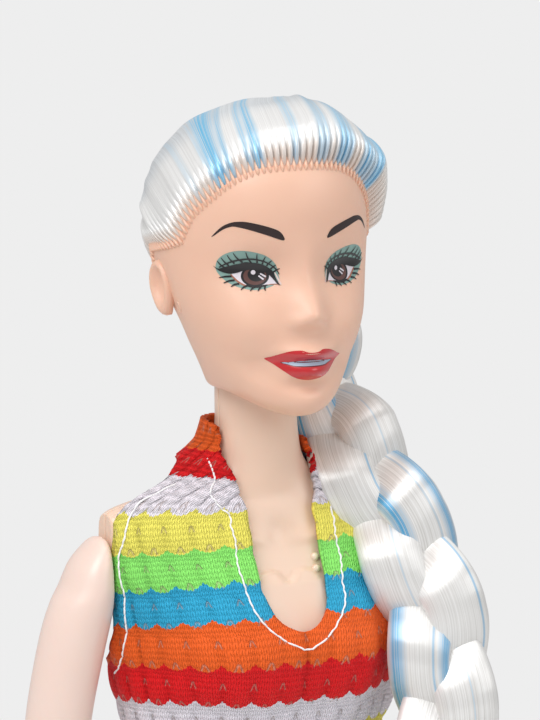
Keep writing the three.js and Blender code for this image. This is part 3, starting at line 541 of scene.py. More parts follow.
def face_coat(name, outlines, level, finish, spacing=0.28):
    """One coat of face paint: outlines in face millimetres, laid on the skin."""
    points = []
    faces = []
    for outline in outlines:
        low, high = np.min(outline, axis=0), np.max(outline, axis=0)
        ways = [np.arange(low[k] + spacing / 2, high[k], spacing) for k in range(2)]
        grid = np.stack(np.meshgrid(*ways), axis=-1).reshape(-1, 2)
        inner = grid[inside_outline(grid, outline)] if len(grid) else grid
        flat, cells = filled(outline, inner)
        faces += [[len(points) + k for k in cell] for cell in cells]
        for x, z in flat:
            hit, normal, _, _ = head_tree.ray_cast(Vector((x * MM, FACE_FAR_Y, z * MM)),
                                                   Vector((0, 1, 0)))
            points.append(hit + normal * level * MM)
    coat = new_piece(name, points, faces)
    coat.data.materials.append(finish)
    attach(coat, "head")
    return coat


def both_eyes(outlines):
    """Outlines of the doll's right side in picture points, on both sides of the face."""
    spots = [[picture_spot(*p) for p in outline] for outline in outlines]
    return spots + [[(-x, z) for x, z in outline] for outline in spots]


def face_ink(name, colour, roughness, coat=0.0):
    """Printing ink with a faint unevenness, as pad printing leaves."""
    ink = Finish(name, {"Roughness": roughness, "Coat Weight": coat, "Coat Roughness": 0.08})
    darker = (*(0.82 * c for c in colour), 1)
    ink.colour(ink.mix(ink.noise(900, ink.own_place()), (*colour, 1), darker))
    return ink.material


EYE_SHADOW = [(215.6, 266.3), (217.1, 260.5), (221.6, 255.9), (228.0, 252.8), (236.6, 251.0),
              (245.2, 251.0), (253.8, 252.2), (262.4, 254.5), (268.7, 257.6), (273.9, 262.2),
              (276.8, 267.4), (278.2, 274.0), (279.4, 280.0), (275.5, 284.0), (271.0, 286.6),
              (265.3, 288.6), (256.7, 290.1), (248.1, 289.5), (239.4, 287.5), (230.8, 284.1),
              (223.9, 279.5), (218.8, 274.3), (216.2, 270.3)]
EYE_WHITE = [(231.0, 274.6), (237.1, 272.0), (245.2, 269.8), (256.7, 268.7), (265.3, 271.0),
             (270.4, 275.0), (277.6, 283.0), (271.0, 284.3), (265.3, 285.4), (256.7, 286.3),
             (248.6, 286.0), (242.3, 284.3), (237.1, 280.3), (233.5, 277.2)]
EYE_LINER = [(213.2, 265.4), (218.2, 268.4), (223.9, 267.0), (232.0, 264.9), (239.4, 263.4),
             (245.2, 261.9), (250.9, 262.4), (256.7, 262.8), (261.3, 264.0), (265.9, 265.7),
             (269.9, 268.4), (273.3, 271.8), (275.2, 276.6), (277.5, 281.2), (280.1, 285.0),
             (277.4, 284.2), (273.9, 280.0), (269.7, 275.6), (265.3, 272.4), (260.0, 270.6),
             (254.0, 269.6), (247.5, 269.8), (241.7, 271.3), (236.0, 272.9), (230.4, 273.7),
             (225.4, 272.9), (220.0, 271.0), (215.9, 268.2)]
IRIS_CENTRE = (254.9, 276.2)
IRIS_RING = (14.2, 10.4)
IRIS_BROWN = (11.7, 9.0)
PUPIL_CENTRE = (256.2, 274.6)
PUPIL = (8.7, 7.1)
SPARKLE_CENTRE = (253.1, 272.3)
SPARKLE = (2.4, 2.4)
SPARKLE_BARS = [[(260.1, 273.5), (265.9, 276.9)], [(258.5, 275.8), (263.6, 279.7)]]
CREASE = [(219.0, 267.2), (223.9, 264.6), (232.0, 261.4), (239.4, 259.8), (246.3, 259.0),
          (253.8, 259.1), (261.3, 260.5), (267.6, 262.9), (272.7, 266.2), (276.8, 269.9),
          (279.3, 274.3)]
CREASE_WIDTHS = [0.9, 1.5, 1.8, 1.8, 1.7, 1.6, 1.5, 1.4, 1.3, 1.2, 0.8]
# Tip, bend and foot of each lash
UPPER_LASHES = [[(217.1, 260.6), (220.2, 264.2), (224.4, 267.6)],
                [(221.1, 257.7), (224.5, 261.8), (228.8, 265.6)],
                [(227.1, 254.9), (230.2, 259.4), (234.5, 263.3)],
                [(233.1, 252.9), (236.8, 257.8), (242.5, 262.2)],
                [(245.8, 252.2), (247.6, 257.4), (251.2, 262.8)],
                [(257.0, 254.0), (256.8, 258.0), (257.2, 262.6)],
                [(265.4, 256.6), (263.6, 260.0), (262.2, 264.0)],
                [(271.8, 260.3), (269.2, 262.6), (266.6, 265.6)],
                [(276.1, 264.9), (273.4, 266.4), (270.6, 268.8)],
                [(279.8, 268.4), (276.6, 269.8), (273.4, 272.0)]]
LOWER_LASHES = [[(219.2, 277.7), (225.4, 276.6), (231.6, 276.4)],
                [(223.8, 283.2), (228.8, 281.0), (234.6, 280.4)],
                [(231.0, 286.9), (234.4, 284.7), (239.2, 283.9)],
                [(241.0, 290.2), (243.4, 287.6), (247.4, 285.9)],
                [(250.2, 291.3), (252.2, 288.8), (255.4, 286.8)],
                [(258.0, 291.3), (259.4, 288.8), (261.6, 286.2)],
                [(265.4, 291.0), (264.8, 288.4), (265.2, 285.8)]]
LOWER_LID = [(230.6, 274.2), (233.7, 277.8), (238.0, 281.8), (243.5, 285.0), (247.5, 285.9)]
LID_BLACK = [(246.0, 285.4), (251.0, 286.8), (257.0, 287.0), (263.0, 286.0), (267.5, 285.0)]
INNER_LID = [(267.0, 285.2), (272.0, 284.4), (278.5, 284.0)]
INNER_CORNER = [(274.6, 272.0), (277.6, 278.0), (281.2, 284.8)]
BROW = [(211.3, 237.0), (216.5, 231.3), (222.2, 226.5), (228.0, 223.7), (233.7, 222.1),
        (239.4, 221.7), (245.2, 221.9), (253.8, 223.4), (262.4, 225.4), (271.0, 227.8),
        (277.3, 230.1), (281.4, 233.0), (283.9, 236.8), (284.7, 239.2), (283.1, 240.4),
        (276.8, 238.7), (269.9, 236.3), (262.4, 233.9), (253.8, 231.3), (245.2, 228.9),
        (239.4, 227.6), (233.6, 226.6), (229.1, 227.3), (224.5, 228.9), (219.4, 231.9),
        (214.8, 235.2)]


def round_outline(centre, radii, count=40):
    """Points round an ellipse."""
    return [(centre[0] + radii[0] * math.cos(2 * math.pi * k / count),
             centre[1] + radii[1] * math.sin(2 * math.pi * k / count)) for k in range(count)]


def clipped(outline, by):
    """Outline kept inside another one."""
    spots = np.array(outline)
    keep = inside_outline(spots, by)
    centre = np.mean(np.array(by), axis=0)
    kept = []
    for spot, ok in zip(spots, keep):
        share = 1.0
        while not ok and share > 0.05:
            share -= 0.02
            ok = inside_outline(np.array([centre + (spot - centre) * share]), by)[0]
        kept.append(tuple(centre + (spot - centre) * share))
    return kept


eye_room = smooth_outline(EYE_WHITE)
shadow_ink = face_ink("ink_eye_shadow", (0.245, 0.405, 0.365), 0.5)
white_ink = face_ink("ink_eye_white", (0.80, 0.74, 0.80), 0.3, 0.3)
dark_ink = face_ink("ink_black", (0.010, 0.008, 0.010), 0.32, 0.2)
brown_ink = face_ink("ink_iris", (0.125, 0.050, 0.042), 0.3, 0.3)
lid_ink = face_ink("ink_lid", (0.42, 0.16, 0.10), 0.45)
corner_ink = face_ink("ink_inner_corner", (0.80, 0.62, 0.58), 0.4)
brow_ink = face_ink("ink_brow", (0.024, 0.010, 0.010), 0.5)
face_coat("eye_shadow", both_eyes([smooth_outline(EYE_SHADOW)]), 0.02, shadow_ink)
face_coat("eye_white", both_eyes([eye_room]), 0.035, white_ink)
iris_ring = clipped(round_outline(IRIS_CENTRE, IRIS_RING, 60), eye_room)
iris_brown = clipped(round_outline(IRIS_CENTRE, IRIS_BROWN, 60), eye_room)
face_coat("iris_ring", both_eyes([iris_ring]), 0.05, dark_ink)
face_coat("iris", both_eyes([iris_brown]), 0.065, brown_ink)
pupil = clipped(round_outline(PUPIL_CENTRE, PUPIL, 50), eye_room)
face_coat("pupil", both_eyes([pupil]), 0.08, dark_ink)
face_coat("eye_lower_lid", both_eyes([stroke_outline(LOWER_LID, [1.0, 1.7, 1.8, 1.6, 1.0]),
                                      stroke_outline(INNER_LID, [0.8, 0.9, 0.7])]), 0.06, lid_ink)
face_coat("eye_inner_corner", both_eyes([stroke_outline(INNER_CORNER, [0.9, 1.8, 1.6])]), 0.05,
          corner_ink)
lashes = [stroke_outline(lash, [0.7, 1.4, 1.9]) for lash in UPPER_LASHES]
lashes += [stroke_outline(lash, [0.8, 1.8, 2.0]) for lash in LOWER_LASHES]
lashes.append(stroke_outline(LID_BLACK, [1.4, 1.8, 2.0, 1.6, 1.0]))
lashes.append(stroke_outline(CREASE, CREASE_WIDTHS))
face_coat("lashes", both_eyes(lashes), 0.09, dark_ink)
face_coat("eye_liner", both_eyes([smooth_outline(EYE_LINER, 4)]), 0.1, dark_ink)
sparkles = [round_outline(SPARKLE_CENTRE, SPARKLE, 20)]
sparkles += [stroke_outline(bar, [1.5, 1.7], 3) for bar in SPARKLE_BARS]
# The lights in both eyes stand on the same side, so they are shifted and not mirrored
SPARKLE_SLIP = 0.25
spots = [[picture_spot(*p) for p in outline] for outline in sparkles]
eye_spread = 2 * abs(picture_spot(*IRIS_CENTRE)[0])
spots += [[(x + eye_spread - SPARKLE_SLIP, z) for x, z in outline] for outline in spots]
face_coat("eye_sparkle", spots, 0.12, white_ink)
face_coat("brows", both_eyes([smooth_outline(BROW, 3)]), 0.03, brow_ink)

LIPS = [(264.2, 358.2), (271.0, 356.6), (278.7, 354.4), (288.3, 351.9), (295.9, 350.8),
        (302.3, 350.8), (307.4, 352.3), (311.2, 352.9)]
LIPS_BELOW = [(307.4, 379.9), (299.7, 379.1), (292.7, 376.6), (285.7, 372.3), (278.7, 367.7),
              (273.0, 363.9), (268.5, 361.3)]
TEETH = [(281.9, 362.6), (291.5, 362.1), (301.0, 360.8), (308.5, 359.8)]
TEETH_BELOW = [(306.5, 366.4), (297.2, 366.2), (289.5, 364.7)]


def mirrored_outline(above, below):
    """Whole outline from the upper and lower line of its right half."""
    top = [picture_spot(*p) for p in above]
    bottom = [picture_spot(*p) for p in below]
    top[-1] = (0.0, top[-1][1])
    bottom[0] = (0.0, bottom[0][1])
    return (top + [(-x, z) for x, z in top[-2::-1]]
            + [(-x, z) for x, z in bottom[:0:-1]] + bottom)


lip_ink = face_ink("ink_lips", (0.60, 0.010, 0.016), 0.22, 0.8)
mouth_ink = face_ink("ink_mouth", (0.14, 0.004, 0.012), 0.3, 0.3)
teeth_ink = face_ink("ink_teeth", (0.42, 0.53, 0.66), 0.25, 0.5)
face_coat("lips", [smooth_outline(mirrored_outline(LIPS, LIPS_BELOW))], 0.03, lip_ink)
MOUTH_ROOM = np.array([1.06, 1.28])
teeth_outline = smooth_outline(mirrored_outline(TEETH, TEETH_BELOW))
teeth_middle = np.mean(np.array(teeth_outline), axis=0)
rim = [tuple(teeth_middle + (np.array(p) - teeth_middle) * MOUTH_ROOM) for p in teeth_outline]
face_coat("mouth_line", [rim], 0.045, mouth_ink)
face_coat("teeth", [teeth_outline], 0.06, teeth_ink)

# Hair
# Rooted nylon fibre, silver white with light blue streaks. Tufts come out between small
# knuckles of the scalp along the hairline, roll back over the crown and draw together at the
# nape on the doll's left, where the braid begins.
# Depth and height of the hairline seen from the side, as shares of the head
HAIRLINE_SHARES = np.array([(-0.90, 0.850), (-0.838, 0.842), (-0.792, 0.834), (-0.714, 0.802),
                            (-0.61, 0.747), (-0.448, 0.677), (-0.331, 0.580), (-0.15, 0.560),
                            (0.22, 0.535), (0.31, 0.400), (0.37, 0.230), (0.42, 0.185),
                            (1.20, 0.185)])
TUFT_PITCH = 0.78
HAIR_STEPS = 110
HAIR_COLUMNS = 12
SCALP_CENTRE = Vector(place([0, 1.2, CHIN_Z + 19.5]))
# Where the hair draws together, from the middle of the scalp
GATHER = np.array([0.55, 0.62, -0.56])
SWEEP = np.array([0.10, 0.95, 0.62])
ROLL = 3.2
ROLL_LEFT = 2.1
ROLL_CROWN = -1.75
ROLL_LENGTH = 3.4


def scalp_hit(direction):
    """Distance in millimetres from the middle of the scalp to its skin."""
    hit = head_tree.ray_cast(SCALP_CENTRE, Vector(direction))[0]
    return (hit - SCALP_CENTRE).length / MM


def hairline_direction(round_angle):
    """Unit direction from the middle of the scalp to the hairline, from the front round."""
    across = math.sin(round_angle)
    forward = -math.cos(round_angle)
    low, high = -0.95, 1.2
    for _ in range(30):
        rise = (low + high) / 2
        direction = Vector((across, forward, rise)).normalized()
        hit = head_tree.ray_cast(SCALP_CENTRE, direction)[0]
        depth = (hit.y - NECK_Y) / MM / HEAD_DEPTH
        height = (hit.z / MM - CHIN_Z) / HEAD_HEIGHT
        line = np.interp(depth, HAIRLINE_SHARES[:, 0], HAIRLINE_SHARES[:, 1])
        if height > line:
            high = rise
        else:
            low = rise
    return np.array(direction)


def unit(vectors):
    """Vectors made one long."""
    return vectors / np.linalg.norm(vectors, axis=-1, keepdims=True)


def eased(share):
    """Share from nought to one with a soft start and stop."""
    return share * share * (3 - 2 * share)


# Roots run from the middle of the nape round the doll's right side and back, evenly spaced
fine = np.array([hairline_direction(a) for a in np.linspace(-math.pi, math.pi, 361)])
fine_points = np.array([d * scalp_hit(d) for d in fine])
run = run_along(fine_points)
TUFTS = int(run[-1] / TUFT_PITCH)
columns = TUFTS * HAIR_COLUMNS
column_run = np.linspace(0, run[-1], columns, endpoint=False)
root = unit(np.stack([np.interp(column_run, run, fine[:, k]) for k in range(3)], axis=-1))
tuft_phase = column_run / run[-1] * TUFTS
gather = unit(GATHER)
turn_to_gather = np.arccos(np.clip(root @ gather, -1, 1))
# Roots far from the gathering point bend over the crown, near ones run straight
bend = eased(np.clip((turn_to_gather - 0.35) / 1.4, 0, 1))
straight = unit(root + gather)
over = unit(0.62 * root + SWEEP)
control = unit(straight + (over - straight) * bend[:, None])
GATHER_SPREAD = 0.30
towards = unit(root - gather * (root @ gather)[:, None])
finish_point = unit(gather + GATHER_SPREAD * towards)
BEND_PULL = 1.15


def hair_direction(column, t):
    """Unit direction of the hair of a column (a number or an array) at a share of its way."""
    k = np.asarray(column, dtype=float) % columns
    low = k.astype(int) % columns
    high = (low + 1) % columns
    f = (k - np.floor(k))[..., None]
    a, b, c = (way[low] + (way[high] - way[low]) * f for way in (root, control, finish_point))
    t = np.asarray(t, dtype=float)[..., None]
    return unit((1 - t) ** 2 * a + 2 * t * (1 - t) * BEND_PULL * b + t * t * c)


def roll_height(direction, travelled):
    """How far the hair stands off the scalp, in millimetres, before its tufts."""
    rise = 1 - (1 - np.clip(travelled / ROLL_LENGTH, 0, 1)) ** 2.2
    left, high = direction[..., 0], direction[..., 2]
    full = ROLL + ROLL_LEFT * left + ROLL_CROWN * np.clip(high, 0, 1)
    # The roll dies away towards the nape, sooner on the doll's right
    start, span = np.where(left < 0, 0.55, 0.05), np.where(left < 0, 0.9, 0.7)
    low = eased(np.clip((high + start) / span, 0, 1))
    return full * rise * np.where(left < 0, low, 0.45 + 0.55 * low)


hair_t = np.linspace(0, 1, HAIR_STEPS) ** 1.35
grid_column, grid_t = crossed(np.arange(columns), hair_t)
hair_way = hair_direction(grid_column, grid_t)
scalp_far = np.array([scalp_hit(d) for d in hair_way[:, ::3].reshape(-1, 3)])
scalp_far = scalp_far.reshape(columns, -1)
scalp_far = np.stack([np.interp(np.arange(HAIR_STEPS), np.arange(0, HAIR_STEPS, 3), far)
                      for far in scalp_far])
skin_points = hair_way * scalp_far[..., None]
hair_run = np.concatenate([np.zeros((columns, 1)),
                           np.cumsum(np.linalg.norm(np.diff(skin_points, axis=1), axis=2), axis=1)],
                          axis=1)
# Broad locks run through the hair: where, how wide, how high and how far they sway
lock_rng = np.random.default_rng(7)
LOCKS = 60
lock_at = np.sort(lock_rng.uniform(0, columns, LOCKS))
lock_wide = lock_rng.uniform(9, 34, LOCKS)
lock_high = lock_rng.uniform(-0.24, 0.24, LOCKS)
lock_sway = lock_rng.uniform(-22, 22, LOCKS)
locks = np.zeros((columns, HAIR_STEPS))
for at, wide, high, sway in zip(lock_at, lock_wide, lock_high, lock_sway):
    offset = (grid_column - at - sway * np.sin(2.4 * grid_t + at) + columns / 2) % columns
    locks += high * np.exp(-((offset - columns / 2) / wide) ** 2)
comb = np.abs(np.sin(np.pi * (tuft_phase[:, None] + 0.5)))
# The knuckles part the tufts for the first millimetres, less so on the doll's left
PARTING_RUN = 2.1
TUFT_DIP = -0.13
TUFT_RUN = 3.5
ROOT_SINK = 0.25
parting = np.clip((0.78 - comb) / 0.7, 0, 1) * np.exp(-(hair_run / PARTING_RUN) ** 2)
parting = parting * (1 - 0.6 * np.clip(hair_way[..., 0], 0, 1))
tufted = TUFT_DIP * (1 - comb) * np.exp(-hair_run / TUFT_RUN)
fade = np.clip(hair_run / 4, 0, 1)
hair_out = (roll_height(hair_way, hair_run) * (1 - 0.9 * parting) + tufted + locks * fade
            - ROOT_SINK * np.exp(-hair_run / 0.5) - ROOT_SINK * parting)
hair_points = hair_way * (scalp_far + hair_out)[..., None]
hair_points = hair_points + np.array(SCALP_CENTRE) / MM - np.array([0, NECK_Y / MM, 0])
uv = np.stack([tuft_phase[:, None] / TUFTS + 0 * hair_run, hair_run / 60], axis=-1)
hair_rings = np.moveaxis(hair_points, 0, 1)
hair_uv = np.moveaxis(uv, 0, 1)
hair = ring_mesh("hair", place(hair_rings), hair_uv, closed_ends=False)
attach(hair, "head")
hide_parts("hair_cap")


FIBRE_RUN = 1.2


def hair_material(name, across_scale, shade, streaks, painted_light_along=()):
    """Nylon fibre: fine lines along the UV's second way, with blue streaks by its first.

    The tones along the fibre, multiplied in by their place along it, are painted highlight and
    painted shade.
    """
    fibre = Finish(name, {"Metallic": 0.3, "Roughness": 0.36, "Specular IOR Level": 0.9,
                          "Anisotropic": 0.9})
    tangent = fibre.nodes.new("ShaderNodeTangent")
    tangent.direction_type = "UV_MAP"
    tangent.uv_map = "UVMap"
    fibre.feed(fibre.shader, {"Tangent": tangent.outputs["Tangent"]})
    flat, across, along = fibre.flat_place()
    lines = fibre.noise(1, fibre.stretched(flat, (across_scale, FIBRE_RUN, 1)), Detail=3,
                        Roughness=0.65)
    colour = fibre.ramp(lines, [(0.22, shade), (0.62, SILVER)])
    # Painted highlight and painted shade along the fibre
    if painted_light_along:
        colour = fibre.mix(1, colour, fibre.ramp(along, painted_light_along, "EASE"), "MULTIPLY")
    # The streaks wander a little and break up where the lines are dark
    wander = fibre.noise(1, fibre.stretched(flat, (across_scale / 40, FIBRE_RUN * 1.5, 1)))
    drift = fibre.maths("MULTIPLY_ADD", wander, 0.02, across)
    patch = fibre.between(lines, 0.34, 0.56)
    for at, wide, strength, blue in streaks:
        far = fibre.maths("ABSOLUTE", fibre.maths("SUBTRACT", drift, at + 0.01))
        inside = fibre.between(far, wide, wide * 0.3, strength)
        colour = fibre.mix(fibre.maths("MULTIPLY", inside, patch), colour, (*blue, 1))
    fibre.colour(colour)
    fibre.relief(lines, 0.3, 0.08)
    return fibre.material


SILVER = (0.90, 0.895, 0.885)
SILVER_SHADE = (0.66, 0.645, 0.63)
HAIR_BLUE = (0.13, 0.50, 0.78)
# Where the blue streaks leave the hairline, as points of the picture, their width and strength
STREAK_ROOTS = [(205, 205, 0.008, 0.25), (219, 174, 0.013, 1.0), (230, 167, 0.006, 0.8),
                (247, 158, 0.005, 0.6), (257, 155, 0.008, 0.95), (291, 150, 0.010, 0.5),
                (312, 146, 0.012, 0.6), (330, 149, 0.016, 0.5), (353, 157, 0.016, 0.6),
                (371, 172, 0.016, 0.8), (377, 190, 0.012, 0.9), (374, 205, 0.014, 0.6)]
HIDDEN_STREAKS = [(0.16, 0.008, 0.7), (0.86, 0.010, 0.7), (0.92, 0.010, 0.7)]


# Where a point beside the head is moved to, in columns and rows
STREAK_INWARDS = (-14, 8)


def root_share(column, row):
    """Share of the way round the hairline that is nearest to a point of the picture."""
    hit = picture_point(column, row)
    if hit is None:
        hit = picture_point(column + STREAK_INWARDS[0], row + STREAK_INWARDS[1])
    return float(np.argmax(root @ np.array((hit - SCALP_CENTRE).normalized()))) / columns


hair_streaks = [(root_share(at, row), wide, strength, HAIR_BLUE)
                for at, row, wide, strength in STREAK_ROOTS]
hair_streaks += [(share, wide, strength, HAIR_BLUE) for share, wide, strength in HIDDEN_STREAKS]
# Tones along the fibre: the roots tinted partly by the skin showing through and partly by painted
# shade, the roll left bright as a painted highlight band, and the crown greyed by painted shade
HAIR_PAINTED_LIGHT_ALONG = [(0.0, (0.86, 0.69, 0.60)), (0.025, (0.94, 0.86, 0.81)), (0.05, (1, 1, 1)),
                   (0.13, (1, 1, 1)), (0.22, (0.80, 0.84, 0.88)), (0.40, (0.84, 0.87, 0.90)),
                   (0.70, (1, 1, 1))]
hair.data.materials.append(hair_material("hair_fibre", 900, SILVER_SHADE, hair_streaks,
                                         HAIR_PAINTED_LIGHT_ALONG))

# The knuckles of the scalp between the tufts, moulded with the head
KNUCKLE_START = -0.8
KNUCKLE_LENGTH = 3.4
KNUCKLE_HALF_WIDTH = 0.36 * TUFT_PITCH
KNUCKLE_RISE = 0.5
KNUCKLE_SINK = 0.02
KNUCKLE_RINGS = 11
KNUCKLE_SIDES = 10
knuckle_points = []
knuckle_faces = []
for k in range(TUFTS):
    column = (k + 0.5) * HAIR_COLUMNS
    total = hair_run[int(column) % columns, -1]
    shares = np.linspace(KNUCKLE_START, KNUCKLE_LENGTH, KNUCKLE_RINGS) / max(total, 8)
    ways = hair_direction(np.full(KNUCKLE_RINGS, column), shares)
    middles = np.array([d * (scalp_hit(d) - KNUCKLE_SINK) for d in ways])
    along = unit(np.gradient(middles, axis=0))
    across = unit(np.cross(along, ways))
    first = len(knuckle_points)
    for r in range(KNUCKLE_RINGS):
        # Round at its front end and drawn out thin towards the back
        drawn = r / (KNUCKLE_RINGS - 1)
        swell = math.sqrt(max(1 - (1 - min(drawn / 0.22, 1)) ** 2, 0.02)) * (1 - 0.85 * drawn ** 1.3)
        for i in range(KNUCKLE_SIDES):
            a = 2 * math.pi * i / KNUCKLE_SIDES
            spot = (middles[r] + across[r] * math.cos(a) * KNUCKLE_HALF_WIDTH * swell
                    + ways[r] * math.sin(a) * KNUCKLE_RISE * swell)
            knuckle_points.append((spot + np.array(SCALP_CENTRE) / MM) * MM)
    for r in range(KNUCKLE_RINGS - 1):
        for i in range(KNUCKLE_SIDES):
            j = (i + 1) % KNUCKLE_SIDES
            a, b = first + r * KNUCKLE_SIDES + i, first + r * KNUCKLE_SIDES + j
            knuckle_faces.append((a, b, b + KNUCKLE_SIDES, a + KNUCKLE_SIDES))
    knuckle_faces.append([first + i for i in range(KNUCKLE_SIDES)][::-1])
knuckles = new_piece("scalp_knuckles", knuckle_points, knuckle_faces)
knuckles.data.materials.append(vinyl)
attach(knuckles, "head")

# Braid
# Three strands of the same fibre, plaited over the doll's left shoulder.
SHOULDER_HALF_WIDTH = 22
BRAID_ROUTE_SHARES = [(0.44, 0.62, 1.020), (0.52, 0.38, 1.004), (0.53, 0.13, 0.990),
                      (0.56, -0.17, 0.972), (0.64, -0.47, 0.949), (0.74, -0.72, 0.925),
                      (0.82, -0.95, 0.892), (0.84, -1.07, 0.852), (0.835, -1.09, 0.808)]
BRAID_WIDTH = 13.6
BRAID_DEPTH = 8.4
BRAID_PERIOD = 37
BRAID_YAW = -0.46
STRAND_WIDTH = 7.7
STRAND_DEPTH = 4.2
STRAND_TILT = 1.5
WEAVE_DELAY = 0.95
BRAID_START = 0.78
STRAND_RINGS = 230
STRAND_SIDES = 56
STRAND_GROOVES = 18
STRAND_SQUARENESS = 0.9
# The strands begin inside the gathered hair, before the first point of the route
route = np.array([(7.6, 10.0, 265.5)] + [(x * SHOULDER_HALF_WIDTH, y * HEAD_DEPTH, z * CHIN_Z)
                                         for x, y, z in BRAID_ROUTE_SHARES])
route_shares = np.linspace(0, 1, 600)
route_fine = row_at(route, route_shares)
route_run = run_along(route_fine)
braid_hidden = np.interp(1 / (len(route) - 1), route_shares, route_run)
braid_length = route_run[-1]
strand_share = np.linspace(0, 1, STRAND_RINGS)
braid_middle = np.stack([np.interp(strand_share * braid_length, route_run, route_fine[:, k])
                         for k in range(3)], axis=-1)
braid_along = unit(np.gradient(braid_middle, axis=0))
braid_across = np.array([math.cos(BRAID_YAW), math.sin(BRAID_YAW), 0])
braid_across = unit(braid_across - braid_along * (braid_along @ braid_across)[:, None])
braid_deep = np.cross(braid_along, braid_across)
strand_rng = np.random.default_rng(3)
BRAID_BLUE = (0.06, 0.38, 0.68)
STRAND_STREAKS = [
    [(0.11, 0.016, 0.8, BRAID_BLUE), (0.80, 0.016, 0.7, BRAID_BLUE)],
    [(0.09, 0.07, 1.0, BRAID_BLUE), (0.18, 0.01, 0.6, BRAID_BLUE), (0.38, 0.085, 1.0, BRAID_BLUE)],
    [(0.22, 0.007, 0.35, BRAID_BLUE), (0.70, 0.03, 0.7, BRAID_BLUE)],
]
BRAID_SHADE = (0.56, 0.54, 0.51)
braid_pieces = []
for number in range(3):
    strand_run = strand_share * braid_length - braid_hidden
    phase = 2 * np.pi * (strand_run / BRAID_PERIOD + number / 3) + BRAID_START
    swell = np.minimum(1, 0.5 + 2 * np.maximum(strand_run, 0) / (braid_length - braid_hidden))
    sway = (BRAID_WIDTH - STRAND_WIDTH) / 2 * swell * np.sin(phase)
    weave = (BRAID_DEPTH - STRAND_DEPTH) / 2 * swell * np.sin(2 * phase - WEAVE_DELAY)
    middle = braid_middle + braid_across * sway[:, None] + braid_deep * weave[:, None]
    strand_along = unit(np.gradient(middle, axis=0))
    lean = np.sum(strand_along * braid_across, axis=1)
    wide_way = unit(braid_across - strand_along * lean[:, None])
    deep_way = np.cross(strand_along, wide_way)
    side = full_turn(STRAND_SIDES)
    fullness = 1 + 0.10 * np.abs(np.cos(phase))
    lobe = np.zeros((STRAND_RINGS, STRAND_SIDES))
    for _ in range(STRAND_GROOVES):
        at = strand_rng.uniform(0, 2 * np.pi)
        wide = strand_rng.uniform(0.07, 0.2)
        sway_by = strand_rng.uniform(-0.5, 0.5)
        high = strand_rng.uniform(-0.02, 0.024)
        gap_to = (side[None, :] - at - sway_by * np.sin(5 * strand_share + at)[:, None] + np.pi)
        gap_to = gap_to % (2 * np.pi) - np.pi
        lobe += high * np.exp(-(gap_to / wide) ** 2)
    cosine, sine = np.cos(side), np.sin(side)
    wide_unit = np.sign(cosine) * np.abs(cosine) ** STRAND_SQUARENESS
    deep_unit = np.sign(sine) * np.abs(sine) ** STRAND_SQUARENESS
    end_taper = np.minimum(1, 0.35 + (1 - strand_share) * 12)
    # A strand rolls as it goes outwards: its inner edge comes from under its neighbour, then
    # lies over the next one, while its outer edge turns back
    tilt = STRAND_TILT * swell * end_taper * np.cos(phase + np.pi / 4 - WEAVE_DELAY / 2)
    size = (swell * fullness * end_taper)[:, None] * (1 + lobe)
    rings = (middle[:, None, :]
             + wide_way[:, None, :] * (STRAND_WIDTH / 2 * size * wide_unit)[..., None]
             + deep_way[:, None, :] * (STRAND_DEPTH / 2 * size * deep_unit)[..., None]
             + deep_way[:, None, :] * (tilt[:, None] * wide_unit)[..., None])
    uv = np.stack([np.broadcast_to(side / (2 * np.pi), lobe.shape),
                   np.broadcast_to((strand_share * braid_length / 60)[:, None], lobe.shape)], axis=-1)
    strand = ring_mesh(f"braid_strand_{number + 1}", place(rings), uv)
    strand.data.materials.append(hair_material(f"braid_fibre_{number + 1}", 160, BRAID_SHADE,
                                               STRAND_STREAKS[number]))
    braid_pieces.append(strand)
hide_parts("braid")
BRAID_HELD_Z = 207
for strand in braid_pieces:
    tuple(place([11, 5, 257]))
    tuple(place([18, -16.5, BRAID_HELD_Z]))
    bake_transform(strand)
LOCK_RINGS = 60
LOCK_SIDES = 28
LOCK_FACING = np.array([0.44, 0.90, 0.0])


def loose_lock(name, points, width, depth, streaks):
    """Flat lock of hair along points in part millimetres, thin at both ends."""
    share = np.linspace(0, 1, LOCK_RINGS)
    spots = row_at(np.array(points, dtype=float), share)
    along = unit(np.gradient(spots, axis=0))
    outwards = unit(np.cross(along, LOCK_FACING))
    forwards = np.cross(outwards, along)
    full = np.sqrt(np.clip(1 - (2 * share - 1) ** 4, 0.02, 1))
    angle = full_turn(LOCK_SIDES)
    edge = 1 + 0.05 * np.sin(7 * angle) + 0.03 * np.sin(13 * angle + 1)
    rings = (spots[:, None, :]
             + outwards[:, None, :] * (width / 2 * full[:, None] * edge * np.cos(angle))[..., None]
             + forwards[:, None, :] * (depth / 2 * full[:, None] * edge * np.sin(angle))[..., None])
    uv = np.stack(np.broadcast_arrays(angle / (2 * np.pi), share[:, None] * 0.3), axis=-1)
    lock = ring_mesh(name, place(rings), uv)
    lock.data.materials.append(hair_material(f"{name}_fibre", 90, BRAID_SHADE, streaks))
    return lock


# One lock hangs loose behind the left jaw; another runs from the nape into the braid
jaw_lock = loose_lock("jaw_lock", [(12.4, 8.0, 269.0), (14.4, 5.6, 264.5), (15.5, 4.4, 261.0),
                                   (15.2, 4.0, 258.0), (13.8, 3.6, 254.5)], 3.0, 1.6,
                      [(0.25, 0.2, 0.8, HAIR_BLUE), (0.70, 0.2, 1.0, HAIR_BLUE)])
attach(jaw_lock, "head")
nape_lock = loose_lock("nape_lock", [(5.5, 12.0, 262.0), (8.0, 10.6, 256.5), (10.6, 9.0, 251.0),
                                     (12.6, 6.0, 247.5), (14.0, 1.0, 245.0)], 4.6, 2.2,
                       [(0.72, 0.26, 1.0, (0.05, 0.30, 0.55))])
tuple(place([11, 5, 257]))
tuple(place([18, -16.5, BRAID_HELD_Z]))
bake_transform(nape_lock)

